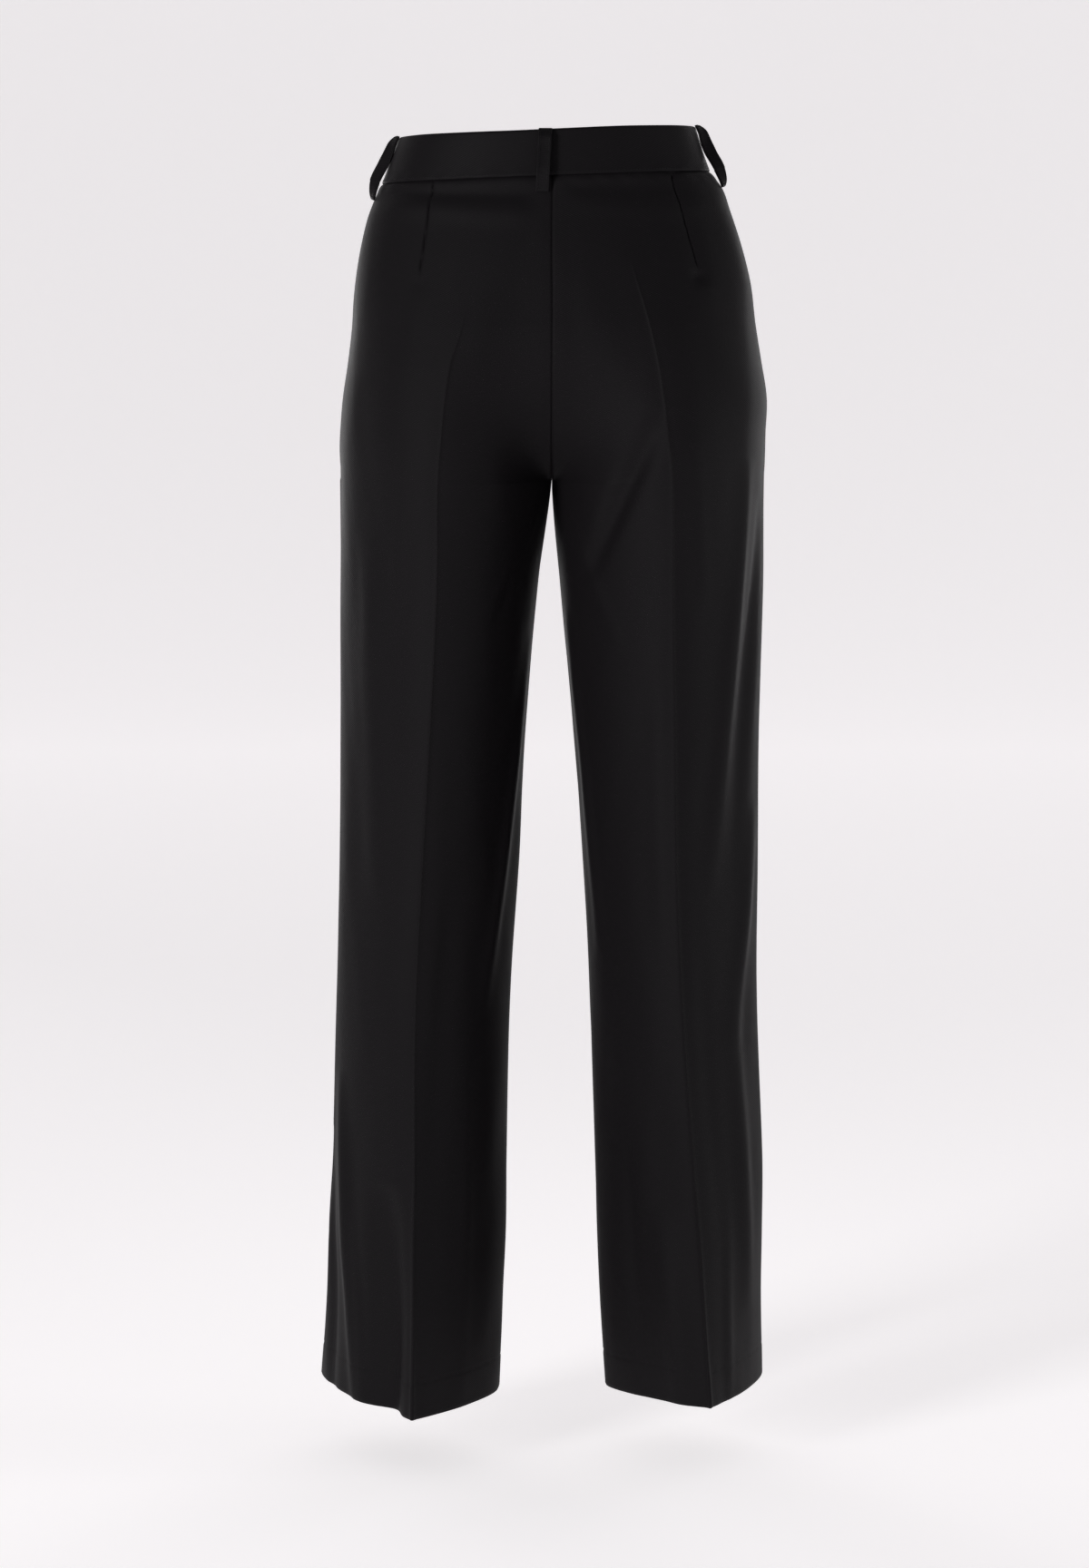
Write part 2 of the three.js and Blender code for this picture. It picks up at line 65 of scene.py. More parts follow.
MM = 0.001
CLOTH = 1.8  # a panel's thickness
SEAM_REST = 0.002  # left between two sewn edges: they share no faces, and no light comes through
WAISTBAND_HEIGHT = 38.0
WAISTBAND_WALL = 2.8
WAISTBAND_PROUD = 0.6  # how far the band stands out from the panels
WAIST_TILT = 0.038  # how far the waist drops towards the wearer's left, as a share of its width
WAIST_TILT_END = -260.0
OVAL_POWER = 2.2
CROTCH_Z = -292.0
BACK_RISE_CURVE = 130.0  # the height over which the centre back seam curves in to the crotch
FRONT_RISE_CURVE = 105.0
LEG_FORM_TOP = -60.0  # between these two heights the waist's oval turns into the legs' section
LEG_FORM_END = -280.0
CREASE_TOP = -110.0
CREASE_PINCH = 0.9
CREASE_GROWTH = 0.7
CREASE_CURVE = 1.5
WEB_BLEND = 5.0
HEM_TILT_START = -850.0
HEM_TURN_UP = 30.0
HEM_WALL = 1.2
HEM_REST = 0.3  # between the turned-up allowance and the leg
FLY_END = -162.0
FLY_TAPER = 12.0  # the height over which the lap comes in
FLY_LAP = 4.0
FLY_SINK = CLOTH + 0.9
POCKET_REACH = 0.42
POCKET_SINK = 0.9
POCKET_WALL = 1.4
POCKET_BOTTOM = CROTCH_Z + BACK_RISE_CURVE * (1 - math.cos(math.radians(75)))
PANEL_TOP = -WAISTBAND_HEIGHT + 1.0  # the panels run up into the band's seam
CLOSURE_LAP = 28.0
CLOSURE_UNDERLAP = 8.0
CLOSURE_LIFT = WAISTBAND_WALL + 0.6
SHARP_ANGLE = 48.0  # in degrees, below which a shell's faces are smooth
LENGTHS = ("seat", "thigh", "shin")  # the solids of one panel
FLOOR_Z = -1126.0
LIT_PLACE = (0, 0, -0.5)  # in metres, where the lamps aim


def linear(colour: str) -> tuple[float, float, float, float]:
    """Turns an sRGB hex colour into Blender's linear one.

    Args:
        colour: Six hex digits after a hash sign.

    Returns:
        Red, green, blue and an alpha of 1.
    """
    parts = (int(colour[k : k + 2], 16) / 255 for k in (1, 3, 5))
    red, green, blue = (v / 12.92 if v <= 0.04045 else ((v + 0.055) / 1.055) ** 2.4 for v in parts)
    return red, green, blue, 1.0


def mix(a: Value, b: Value, share: Value) -> Value:
    """Returns a, b or a value between them, by a share from 0 to 1."""
    return a + (b - a) * share


def ramp(value: Value, start: float, end: float) -> Value:
    """Returns 0 before start, 1 past end and a smooth rise between them."""
    share = np.clip((value - start) / (end - start), 0, 1)
    return share * share * (3 - 2 * share)


def bell(distance: Value, width: float) -> Value:
    """Returns 1 at distance 0, falling to nothing a few widths away."""
    return np.exp(-((distance / width) ** 2))


class Profile:
    """Named columns of sizes over a leg's height, with a smooth curve through each."""

    def __init__(self, names: tuple[str, ...], rows: tuple[tuple[float, ...], ...]) -> None:
        """Keeps the rows from the lowest to the highest.

        Args:
            names: The names of the columns after z.
            rows: z and the columns' values, from the highest z down.
        """
        data = np.array(rows, float)[::-1]
        self.z = data[:, 0]
        self.columns = {name: data[:, k + 1] for k, name in enumerate(names)}

    def at(self, name: str, z: np.ndarray) -> np.ndarray:
        """Reads a column.

        Args:
            name: The column.
            z: Heights.

        Returns:
            The values there, held at the table's ends.
        """
        values = self.columns[name]
        z = np.clip(z, self.z[0], self.z[-1])
        low = np.clip(np.searchsorted(self.z, z, side="right") - 1, 0, len(self.z) - 2)
        before = np.maximum(np.arange(len(self.z)) - 1, 0)
        after = np.minimum(np.arange(len(self.z)) + 1, len(self.z) - 1)
        slopes = (values[after] - values[before]) / (self.z[after] - self.z[before])
        span = self.z[low + 1] - self.z[low]
        t = (z - self.z[low]) / span
        return (
            values[low] * (1 + 2 * t) * (1 - t) ** 2
            + slopes[low] * span * t * (1 - t) ** 2
            + values[low + 1] * t * t * (3 - 2 * t)
            + slopes[low + 1] * span * t * t * (t - 1)
        )


@dataclass(frozen=True)
class Fold:
    """A ridge (depth above 0) or trough in the cloth, from one place on a leg to another.

    u runs round a leg: 0 side seam, 1 back crease, 2 inseam, -1 front crease, -2 inseam.
    """

    u: float
    z: float
    to_u: float
    to_z: float
    depth: float
    width: float


@dataclass(frozen=True)
class Dart:
    """A sewn dart on a back panel, from the waistband's seam down to its point."""

    x: float
    z: float
    to_x: float
    to_z: float
    dimple: float  # how far the cloth dips at the point
    ditch_depth: float = 1.7
    ditch_width: float = 0.75
    fold_height: float = 0.5  # the folded cloth beneath, felt beside the ditch
    dimple_width: float = 6.5
    swell_height: float = 0.8  # the fullness round the point
    swell_width: float = 13.0

    def relief(self, points: np.ndarray) -> np.ndarray:
        """Works out the dart's ditch, the ridge of the folded cloth under it and the dip at its point.

        Args:
            points: Places on the panel, as rows and columns of x, y, z.

        Returns:
            How far each is pushed out.
        """
        along = np.clip((points[..., 2] - self.z) / (self.to_z - self.z), 0, 1)
        away = points[..., 0] - mix(self.x, self.to_x, along)
        beyond = np.maximum(self.to_z - points[..., 2], 0)
        above = ramp(points[..., 2], self.to_z - 4, self.to_z + 10)
        ditch = -self.ditch_depth * bell(away, self.ditch_width) * above
        folded = self.fold_height * bell(away + 4.0, 3.0) * above * (1 - 0.6 * along)
        point = -self.dimple * bell(np.hypot(away, beyond - 6), self.dimple_width)
        from_swell = np.hypot(away, (points[..., 2] - self.to_z + 26) / 1.6)
        return ditch + folded + point + self.swell_height * bell(from_swell, self.swell_width)


SECTION_NAMES = ("outer", "inner", "side_y", "back_x", "back_y", "front_x", "front_y")
LEFT_SECTIONS = Profile(SECTION_NAMES, (
    (0, 127, 0, 0, 58, 84, 56, -84),
    (-38, 142, 0, 0, 61, 90, 60, -90),
    (-52, 149, 0, 0, 63, 95, 62, -93),
    (-70, 155.5, 0, 0, 64, 100, 66, -96),
    (-100, 162, 0, 0, 65, 109, 71, -100),
    (-131, 166, 0, 0, 68, 116, 76, -103),
    (-162, 168, 0, 0, 74, 122, 80, -105),
    (-192, 171.5, 0, 0, 83, 124, 84, -107),
    (-223, 176, 0, 0, 88, 123, 86, -108),
    (-254, 178.5, 0, 0, 91, 121, 88, -109),
    (-292, 178.5, 0, 0, 94, 116, 90, -110),
    (-377, 178.5, 11.5, 0, 95, 107, 94, -111),
    (-500, 179, 22, 0, 101, 98, 99, -112),
    (-623, 180.5, 28.5, 0, 108, 93, 104, -112),
    (-746, 184, 36, 0, 114, 94, 108, -114),
    (-869, 188, 38.5, -8, 115, 97, 111, -118),
    (-930, 191.5, 39, -18, 116, 99, 112, -121),
    (-992, 193.5, 41.5, -32, 116, 102, 113, -125),
    (-1069, 199.5, 45, -50, 117, 105, 114, -131),
))
RIGHT_SECTIONS = Profile(SECTION_NAMES, (
    (0, 119, 0, 0, 54, 84, 54, -84),
    (-38, 132, 0, 0, 57, 90, 58, -90),
    (-52, 142.5, 0, 0, 58, 95, 61, -93),
    (-70, 149, 0, 0, 59, 100, 66, -96),
    (-100, 159, 0, 0, 62, 109, 71, -100),
    (-131, 167, 0, 0, 71, 116, 76, -103),
    (-162, 171, 0, 0, 80, 122, 80, -105),
    (-192, 176, 0, 0, 87, 124, 84, -107),
    (-223, 181, 0, 0, 92, 123, 86, -108),
    (-254, 180, 0, 0, 96, 121, 88, -109),
    (-292, 179, 0, 0, 99, 116, 90, -110),
    (-377, 178.5, 6.5, 0, 100, 106, 92, -111),
    (-500, 175.5, 18, 0, 102, 95, 95, -111),
    (-623, 175, 27, 0, 104, 89, 97, -111),
    (-746, 175, 33, 0, 110, 87, 99, -112),
    (-869, 180, 37, -4, 119, 86, 101, -116),
    (-930, 180.5, 38.5, -12, 124, 85, 102, -119),
    (-992, 180.5, 41, -24, 128, 84, 103, -122),
    (-1066, 182, 46, -40, 133, 83, 104, -127),
))
CENTRE = Profile(("back", "front"), (
    (0, 86, -86),
    (-38, 90, -92),
    (-70, 98, -97),
    (-100, 105, -100),
    (-131, 110, -102),
    (-162, 113, -103),
    (-187, 114, -103),
))
LEFT_FOLDS = (
    Fold(0.42, -330, 0.5, -640, 3, 16),
    Fold(0.14, -790, 0.42, -1110, 5, 10),
    Fold(0.02, -840, 0.2, -1110, -4, 10),
    Fold(0.62, -880, 0.6, -1160, -13, 18),
    Fold(1.9, -420, 1.66, -740, 3.5, 8),
    Fold(1.35, -600, 1.25, -980, -3, 14),
    Fold(-0.45, -360, -0.62, -820, 4, 14),
    Fold(-0.25, -700, -0.4, -1090, -5, 14),
    Fold(-1.45, -330, -1.7, -620, 4, 12),
)
RIGHT_FOLDS = (
    Fold(0.34, -270, 0.6, -640, 5, 11),
    Fold(0.16, -300, 0.4, -640, -4, 11),
    Fold(0.14, -560, 0.4, -770, 4.5, 11),
    Fold(0.4, -720, 0.28, -1000, 4, 12),
    Fold(1.06, -230, 1.64, -376, -6, 12),
    Fold(1.88, -395, 1.78, -700, 3, 8),
    Fold(1.4, -900, 1.35, -1100, 6, 16),
    Fold(-0.5, -340, -0.6, -780, 4, 14),
    Fold(-0.2, -640, -0.35, -1050, -4, 14),
    Fold(-1.5, -320, -1.72, -600, 4, 12),
)


def centre_depth(z: np.ndarray, rear: bool) -> np.ndarray:
    """Works out how deep the centre back or centre front seam lies.

    Args:
        z: Heights.
        rear: True for the back.

    Returns:
        The seam's y at each height.
    """
    rise = BACK_RISE_CURVE if rear else FRONT_RISE_CURVE
    start = CROTCH_Z + rise
    left = 1 - np.clip((z - CROTCH_Z) / rise, 0, 1)
    depth = CENTRE.at("back" if rear else "front", np.maximum(z, start))
    return depth * np.sqrt(1 - left * left)


def quarter(wide: Value, deep: Value, t: Value, pinch: Value) -> tuple[Value, Value]:
    """Shapes a quarter of a leg's section.

    Args:
        wide: Its size from the crease to its side.
        deep: Its depth at the crease.
        t: Places on it, from 0 at the side to 1 at the crease.
        pinch: How sharp the crease is, from 0 to 1.

    Returns:
        How far sideways and how deep each place lies.
    """
    angle = t * math.pi / 2
    along = np.sin(angle)
    return wide * mix(np.cos(angle), 1 - along**CREASE_CURVE, pinch), deep * along


@dataclass(frozen=True)
class Leg:
    """One leg's form, as if it were the wearer's left one. side mirrors the right one into place."""

    name: str
    side: int
    sections: Profile
    folds: tuple[Fold, ...]
    drag_lines: tuple[Fold, ...]
    dart: Dart
    hem: float
    hem_tilt: float
    loop_bulge: float  # how far its side loop stands off, as a share of the usual
    loop_twist: float  # how far that loop's middle is turned to face the back, in degrees
    crease_start: float  # where the pressed edge starts to show on the seat

    @property
    def mirror(self) -> np.ndarray:
        """What brings a point of the left leg's form onto this leg."""
        return np.array([self.side, 1, 1])

    def section(self, z: np.ndarray, u: np.ndarray) -> tuple[np.ndarray, np.ndarray]:
        """Works out the smooth form.

        Args:
            z: Heights.
            u: Places round the leg.

        Returns:
            x and y there.
        """
        back = self._half(z, np.maximum(u, 0), True)
        front = self._half(z, np.maximum(-u, 0), False)
        rear = u >= 0
        return np.where(rear, back[0], front[0]), np.where(rear, back[1], front[1])

    def _half(self, z: np.ndarray, t: np.ndarray, rear: bool) -> tuple[np.ndarray, np.ndarray]:
        """Works out the back or the front half of the section.

        Args:
            z: Heights.
            t: Places on it: 0 side seam, 1 crease, 2 inseam.
            rear: True for the back half.

        Returns:
            x and y there.
        """
        crease_x = self.sections.at("back_x" if rear else "front_x", z)
        crease_y = self.sections.at("back_y" if rear else "front_y", z)
        side_y = self.sections.at("side_y", z)
        outer = self.sections.at("outer", z)
        parted = z <= CROTCH_Z
        inner_x = np.where(parted, self.sections.at("inner", z), 0)
        inner_y = np.where(parted, 0, centre_depth(z, rear))
        grown = np.clip((CREASE_TOP - z) / (CREASE_TOP - self.hem), 0, 1)
        pinch = CREASE_PINCH * grown**CREASE_GROWTH

        turn = np.arccos((crease_x / outer) ** (OVAL_POWER / 2))
        angle = np.where(t < 1, turn * t, mix(turn, math.pi / 2, t - 1))
        oval_x = outer * np.maximum(0, np.cos(angle)) ** (2 / OVAL_POWER)
        oval_y = side_y + (inner_y - side_y) * np.abs(np.sin(angle)) ** (2 / OVAL_POWER)

        side_part = quarter(outer - crease_x, crease_y - side_y, np.minimum(t, 1), pinch)
        inner_part = quarter(crease_x - inner_x, crease_y, 2 - np.maximum(t, 1), pinch)
        web = np.abs(inner_y) ** WEB_BLEND * (1 - (inner_part[1] / crease_y) ** WEB_BLEND)
        joined = (np.abs(inner_part[1]) ** WEB_BLEND + web) ** (1 / WEB_BLEND)
        rounded = (1 - np.clip((z - CROTCH_Z) / BACK_RISE_CURVE, 0, 1)) ** 1.5
        s = np.clip(t - 1, 0, 1)
        inner_leg_x = mix(mix(crease_x, inner_x, s), crease_x - inner_part[0], rounded)
        flat_y = mix(crease_y, inner_y, s * s * (3 - 2 * s))
        inner_leg_y = mix(flat_y, np.sign(crease_y) * joined, rounded)
        leg_x = np.where(t <= 1, crease_x + side_part[0], inner_leg_x)
        leg_y = np.where(t <= 1, side_y + side_part[1], inner_leg_y)
        form = ramp(z, LEG_FORM_TOP, LEG_FORM_END)
        return mix(oval_x, leg_x, form), mix(oval_y, leg_y, form)

    def point(self, z: np.ndarray, u: np.ndarray) -> np.ndarray:
        """Places points on the smooth form, with the waist's and the hem's slope.

        Args:
            z: Heights.
            u: Places round the leg.

        Returns:
            The points, one more axis than z and u together.
        """
        z, u = np.broadcast_arrays(np.asarray(z, float), np.asarray(u, float))
        x, y = self.section(z, u)
        waist_drop = WAIST_TILT * ramp(z, WAIST_TILT_END, -WAISTBAND_HEIGHT) * self.side * x
        hem_drop = self.hem_tilt * ramp(z, HEM_TILT_START, self.hem) * y
        return np.stack([np.maximum(x, SEAM_REST), y, z - waist_drop - hem_drop], axis=-1)

    def fold_depth(self, folds: tuple[Fold, ...], z: np.ndarray, u: np.ndarray) -> np.ndarray:
        """Adds up folds.

        Args:
            folds: The folds.
            z: Heights, one a row.
            u: Places round the leg, by row and column.

        Returns:
            How far each place is pushed out.
        """
        x, y = self.section(z, u)
        depth = np.zeros_like(x)
        for fold in folds:
            along = np.clip((z - fold.z) / (fold.to_z - fold.z), 0, 1)
            fold_x, fold_y = self.section(z, mix(fold.u, fold.to_u, along))
            height = fold.depth * np.sin(math.pi * along) ** 0.7
            depth += height * bell(np.hypot(x - fold_x, y - fold_y), fold.width)
        return depth


LEFT_LEG = Leg(
    name="left",
    side=1,
    sections=LEFT_SECTIONS,
    folds=LEFT_FOLDS,
    drag_lines=(
        Fold(1.85, -300, 1.45, -400, 1.0, 8),
        Fold(1.75, -300, 1.5, -420, -1.3, 6),
        Fold(0.75, -255, 0.62, -420, 1.0, 8),
        Fold(1.12, -470, 1.2, -760, 1.1, 9),
        Fold(0.86, -560, 0.8, -900, -1.0, 8),
        Fold(1.55, -760, 1.6, -1090, 1.5, 9),
        Fold(0.32, -900, 0.46, -1100, 1.6, 5),
        Fold(-1.8, -250, -1.3, -330, -1.6, 6),
        Fold(-1.88, -285, -1.45, -390, 1.4, 6),
        Fold(-1.5, -520, -1.25, -860, -1.4, 10),
        Fold(-0.7, -250, -0.5, -420, 1.2, 9),
    ),
    dart=Dart(97.7, -40, 110, -121, 0.6),
    hem=-1069,
    hem_tilt=0.05,
    loop_bulge=0.81,
    loop_twist=50.0,
    crease_start=-144,
)
RIGHT_LEG = Leg(
    name="right",
    side=-1,
    sections=RIGHT_SECTIONS,
    folds=RIGHT_FOLDS,
    drag_lines=(
        Fold(1.8, -300, 1.4, -440, 1.0, 9),
        Fold(0.8, -250, 0.7, -400, 1.2, 8),
        Fold(1.15, -420, 1.22, -700, 1.2, 9),
        Fold(0.72, -640, 0.62, -930, -1.2, 9),
        Fold(0.5, -880, 0.56, -1090, 1.5, 7),
        Fold(1.65, -800, 1.62, -1090, -1.4, 9),
        Fold(-1.8, -255, -1.3, -340, -1.6, 6),
        Fold(-1.88, -290, -1.45, -400, 1.5, 6),
        Fold(-1.45, -560, -1.2, -900, -1.3, 10),
        Fold(-0.7, -255, -0.52, -430, 1.2, 9),
    ),
    dart=Dart(99.7, -40, 121.5, -115, 3.0),
    hem=-1066,
    hem_tilt=0.03,
    loop_bulge=1.115,
    loop_twist=58.0,
    crease_start=-100,
)
LEGS = (LEFT_LEG, RIGHT_LEG)


class Finish(Enum):
    """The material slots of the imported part."""

    CLOTH = "cloth"
    BAND = "band_cloth"
    INNER = "inner_cloth"
    BUTTON = "button_plastic"


def add_node(
    tree: bpy.types.NodeTree, kind: str, settings: dict | None = None, links: dict | None = None
) -> bpy.types.Node:
    """Adds a node to a tree.

    Args:
        tree: The node tree.
        kind: The node's type name.
        settings: Attribute names, or input names or numbers, and the values to give them.
        links: Input names or numbers, and the output sockets that feed them.

    Returns:
        The node.
    """
    node = tree.nodes.new(kind)
    for name, value in (settings or {}).items():
        if isinstance(name, str) and hasattr(node, name):
            setattr(node, name, value)
        else:
            node.inputs[name].default_value = value
    for name, socket in (links or {}).items():
        tree.links.new(socket, node.inputs[name])
    return node


def new_material(name: str, look: dict) -> tuple[bpy.types.Material, bpy.types.Node]:
    """Makes a material with one shader.

    Args:
        name: The material's name.
        look: The shader's inputs, by name.

    Returns:
        The material and its shader.
    """
    material = bpy.data.materials.new(name)
    material.use_nodes = True
    tree = material.node_tree
    tree.nodes.clear()
    shader = add_node(tree, "ShaderNodeBsdfPrincipled", look)
    add_node(tree, "ShaderNodeOutputMaterial", links={0: shader.outputs[0]})
    return material, shader


@dataclass(frozen=True)
class WorstedTwill:
    """Worsted wool-mix twill, piece dyed near black: matt, with a soft sheen at grazing angles."""

    name: str = "worsted_twill"
    colour: str = "#110f11"
    roughness: float = 0.65
    specular: float = 0.08  # a fibre's own gloss is near 0.5, but the weave and the dye trap most of it
    sheen: float = 0.012
    sheen_roughness: float = 0.35
    sheen_colour: str = "#c9c6cc"
    rib_angle: float = 63.0
    rib_mm: float = 1.5  # real twill lines stand 0.4 mm apart, drawn coarser so that they show
    rib_depth_mm: float = 0.09
    slub_mm: float = 3.5  # uneven yarn, seen as a faint mottle
    slub_depth_mm: float = 0.12

    def build(self) -> bpy.types.Material:
        """Builds the material.

        Returns:
            The material, with its twill lines and mottle as bumps on the piece's own UV map in metres.
        """
        look = {
            "Base Color": linear(self.colour),
            "Roughness": self.roughness,
            "Specular IOR Level": self.specular,
            "Sheen Weight": self.sheen,
            "Sheen Roughness": self.sheen_roughness,
            "Sheen Tint": linear(self.sheen_colour),
        }
        material, shader = new_material(self.name, look)
        tree = material.node_tree
        flat = add_node(tree, "ShaderNodeUVMap", {"uv_map": "cloth"}).outputs[0]
        rotation = {"Rotation": (0, 0, math.radians(self.rib_angle))}
        turned = add_node(tree, "ShaderNodeMapping", rotation, {0: flat}).outputs[0]
        scale = 2 * math.pi / (20 * self.rib_mm * MM)
        wave = {"Scale": scale, "Distortion": 1.2, "Detail": 2.0, "Detail Scale": 1.6}
        rib = add_node(tree, "ShaderNodeTexWave", wave, {"Vector": turned}).outputs["Fac"]
        noise = {"Scale": 1 / (self.slub_mm * MM), "Detail": 3.0, "Roughness": 0.65}
        slub = add_node(tree, "ShaderNodeTexNoise", noise, {"Vector": flat}).outputs[0]
        below = {}
        for height, depth in ((rib, self.rib_depth_mm), (slub, self.slub_depth_mm)):
            size = {"Strength": 1.0, "Distance": depth * MM}
            bump = add_node(tree, "ShaderNodeBump", size, {"Height": height, **below})
            below = {"Normal": bump.outputs[0]}
        tree.links.new(below["Normal"], shader.inputs["Normal"])
        return material


@dataclass(frozen=True)
class PlainFinish:
    """A finish with one colour: polyester thread, moulded resin or the backdrop's paper."""

    name: str
    colour: str
    roughness: float
    specular: float = 0.5
    glow: float = 0.0
    glow_colour: str = "#f6f3f4"

    def build(self) -> bpy.types.Material:
        """Builds the material, which gives light of its own where glow is above 0.

        Returns:
            The material.
        """
        look = {
            "Base Color": linear(self.colour),
            "Roughness": self.roughness,
            "Specular IOR Level": self.specular,
        }
        if self.glow:
            look |= {"Emission Color": linear(self.glow_colour), "Emission Strength": self.glow}
        return new_material(self.name, look)[0]


@dataclass(frozen=True)
class Finishes:
    """Every material of the garment."""

    # The face of the suiting: near black and matt, with a faint cool sheen at its edges.
    panel: WorstedTwill = WorstedTwill()
    # The same cloth, pressed flat over a stiffener: smoother, with less mottle.
    band: WorstedTwill = WorstedTwill("pressed_twill", "#110f11", 0.58, slub_depth_mm=0.06)
    # The wrong side of the cloth, seen in the hems: duller and a touch darker.
    wrong_side: WorstedTwill = WorstedTwill("twill_wrong_side", "#0f0e10", 0.8, 0.06)
    # Spun polyester: a little shinier than the cloth, so that each stitch catches a point of light.
    thread: PlainFinish = PlainFinish("polyester_thread", "#121113", 0.55, 0.16)
    # Cast polyester resin, tumbled: satin black.
    resin: PlainFinish = PlainFinish("cast_resin", "#0f0f11", 0.3)


@dataclass
class Grid:
    """A surface as rows and columns of points, with its outward directions."""

    points: np.ndarray
    directions: np.ndarray

    def moved(self, distance: Value) -> np.ndarray:
        """Returns the points moved out by a distance, one for all or one for each."""
        distance = np.asarray(distance, float)
        return self.points + self.directions * (distance[..., None] if distance.ndim else distance)

    def arcs(self) -> np.ndarray:
        """Returns how far along its row each point lies."""
        steps = np.linalg.norm(np.diff(self.points, axis=1), axis=2)
        return np.concatenate([np.zeros((len(steps), 1)), np.cumsum(steps, axis=1)], axis=1)


def directions_of(points: np.ndarray) -> np.ndarray:
    """Works out the outward direction at each point.

    Args:
        points: Rows from the top down, and columns that run so that the outside is on their left from above.

    Returns:
        A unit vector for each.
    """
    down = np.gradient(points, axis=0)
    sideways = np.gradient(points, axis=1)
    normal = np.cross(down, sideways)
    return normal / np.maximum(np.linalg.norm(normal, axis=2, keepdims=True), 1e-9)


def add_object(name: str, data: bpy.types.ID) -> bpy.types.Object:
    """Makes an object of a mesh, lamp or camera.

    Args:
        name: The object's name.
        data: What it shows.

    Returns:
        The object, linked to the scene.
    """
    item = bpy.data.objects.new(name, data)
    bpy.context.scene.collection.objects.link(item)
    return item


def make_mesh(name: str, vertices: np.ndarray, faces: np.ndarray, uv: np.ndarray | None) -> bpy.types.Object:
    """Makes a mesh object of four-cornered faces.

    Args:
        name: The object's name.
        vertices: Points in millimetres.
        faces: Four vertex numbers for each face.
        uv: Two numbers in metres for each vertex, or None.

    Returns:
        The object, linked to the scene.
    """
    mesh = bpy.data.meshes.new(name)
    mesh.vertices.add(len(vertices))
    mesh.vertices.foreach_set("co", (vertices * MM).astype(np.float32).ravel())
    mesh.loops.add(faces.size)
    mesh.loops.foreach_set("vertex_index", faces.astype(np.int32).ravel())
    mesh.polygons.add(len(faces))
    mesh.polygons.foreach_set("loop_start", np.arange(0, faces.size, 4, dtype=np.int32))
    mesh.polygons.foreach_set("use_smooth", np.ones(len(faces), bool))
    mesh.update(calc_edges=True)
    if uv is not None:
        layer = mesh.uv_layers.new(name="cloth")
        layer.data.foreach_set("uv", uv[faces.ravel()].astype(np.float32).ravel())
    mesh.validate()
    mesh.set_sharp_from_angle(angle=math.radians(SHARP_ANGLE))
    return add_object(name, mesh)


def wall(
    name: str, outer: np.ndarray, inner: np.ndarray, side: int = 1, ring: bool = False
) -> bpy.types.Object:
    """Makes a closed wall between two faces.

    Args:
        name: The object's name.
        outer: The outer face's points, as rows from the top down and columns.
        inner: The inner face's points.
        side: -1 mirrors the wall to the wearer's right.
        ring: True where each row's last point lies on its first.

    Returns:
        The wall's object.
    """
    if ring:
        outer, inner = outer[:, :-1], inner[:, :-1]
    rows, columns = outer.shape[:2]
    count = rows * columns
    index = np.arange(count).reshape(rows, columns)
    after = np.roll(index, -1, axis=1)
    end = columns if ring else columns - 1
    a, b, c, d = index[:-1, :end], index[1:, :end], after[1:, :end], after[:-1, :end]
    skins = [
        np.stack([a, b, c, d], axis=-1).reshape(-1, 4),
        np.stack([a, d, c, b], axis=-1).reshape(-1, 4) + count,
    ]
    top, top_next = index[0, :end], after[0, :end]
    low, low_next = index[-1, :end], after[-1, :end]
    rims = [
        np.stack([top, top_next, top_next + count, top + count], axis=-1),
        np.stack([low, low + count, low_next + count, low_next], axis=-1),
    ]
    if not ring:
        first, far = index[:, 0], index[:, -1]
        rims.append(np.stack([first[:-1], first[:-1] + count, first[1:] + count, first[1:]], axis=-1))
        rims.append(np.stack([far[:-1], far[1:], far[1:] + count, far[:-1] + count], axis=-1))
    faces = np.concatenate(skins + rims)
    vertices = np.concatenate([outer.reshape(-1, 3), inner.reshape(-1, 3)])
    arc = Grid(outer, outer).arcs()
    arc -= arc[:, columns // 2 : columns // 2 + 1]
    uv = np.stack([arc, outer[..., 2]], axis=-1).reshape(-1, 2) * MM
    if side < 0:
        vertices = vertices * np.array([-1, 1, 1])
        faces = faces[:, ::-1]
    return make_mesh(name, vertices, faces, np.concatenate([uv, uv]))


def spread(stops: tuple[tuple[float, float], ...]) -> np.ndarray:
    """Spaces values out between stops, each stop with the step wanted there.

    Args:
        stops: Values in rising order, each with its step.

    Returns:
        The values, every stop among them.
    """
    values = [stops[0][0]]
    for (low, fine), (high, coarse) in zip(stops, stops[1:]):
        count = max(1, round((high - low) / ((fine + coarse) / 2)))
        share = np.linspace(0, 1, count + 1)[1:]
        lean = (coarse - fine) / (coarse + fine)
        values.extend(low + (high - low) * (share * (1 - lean) + lean * share**2))
    return np.array(values)


# Places round a leg, closest together at the seams, the dart and the crease.
BACK_COLUMNS = spread((
    (0.0, 0.006), (0.05, 0.022), (0.58, 0.022), (0.62, 0.008), (0.77, 0.008), (0.8, 0.022),
    (0.93, 0.022), (0.985, 0.006), (1.0, 0.006), (1.015, 0.006), (1.07, 0.022), (1.9, 0.022),
    (1.97, 0.01), (2.0, 0.006),
))
FRONT_COLUMNS = spread((
    (-2.0, 0.006), (-1.97, 0.01), (-1.9, 0.022), (-1.07, 0.022), (-1.015, 0.006), (-1.0, 0.006),
    (-0.985, 0.006), (-0.93, 0.022), (-0.08, 0.022), (0.0, 0.006),
))


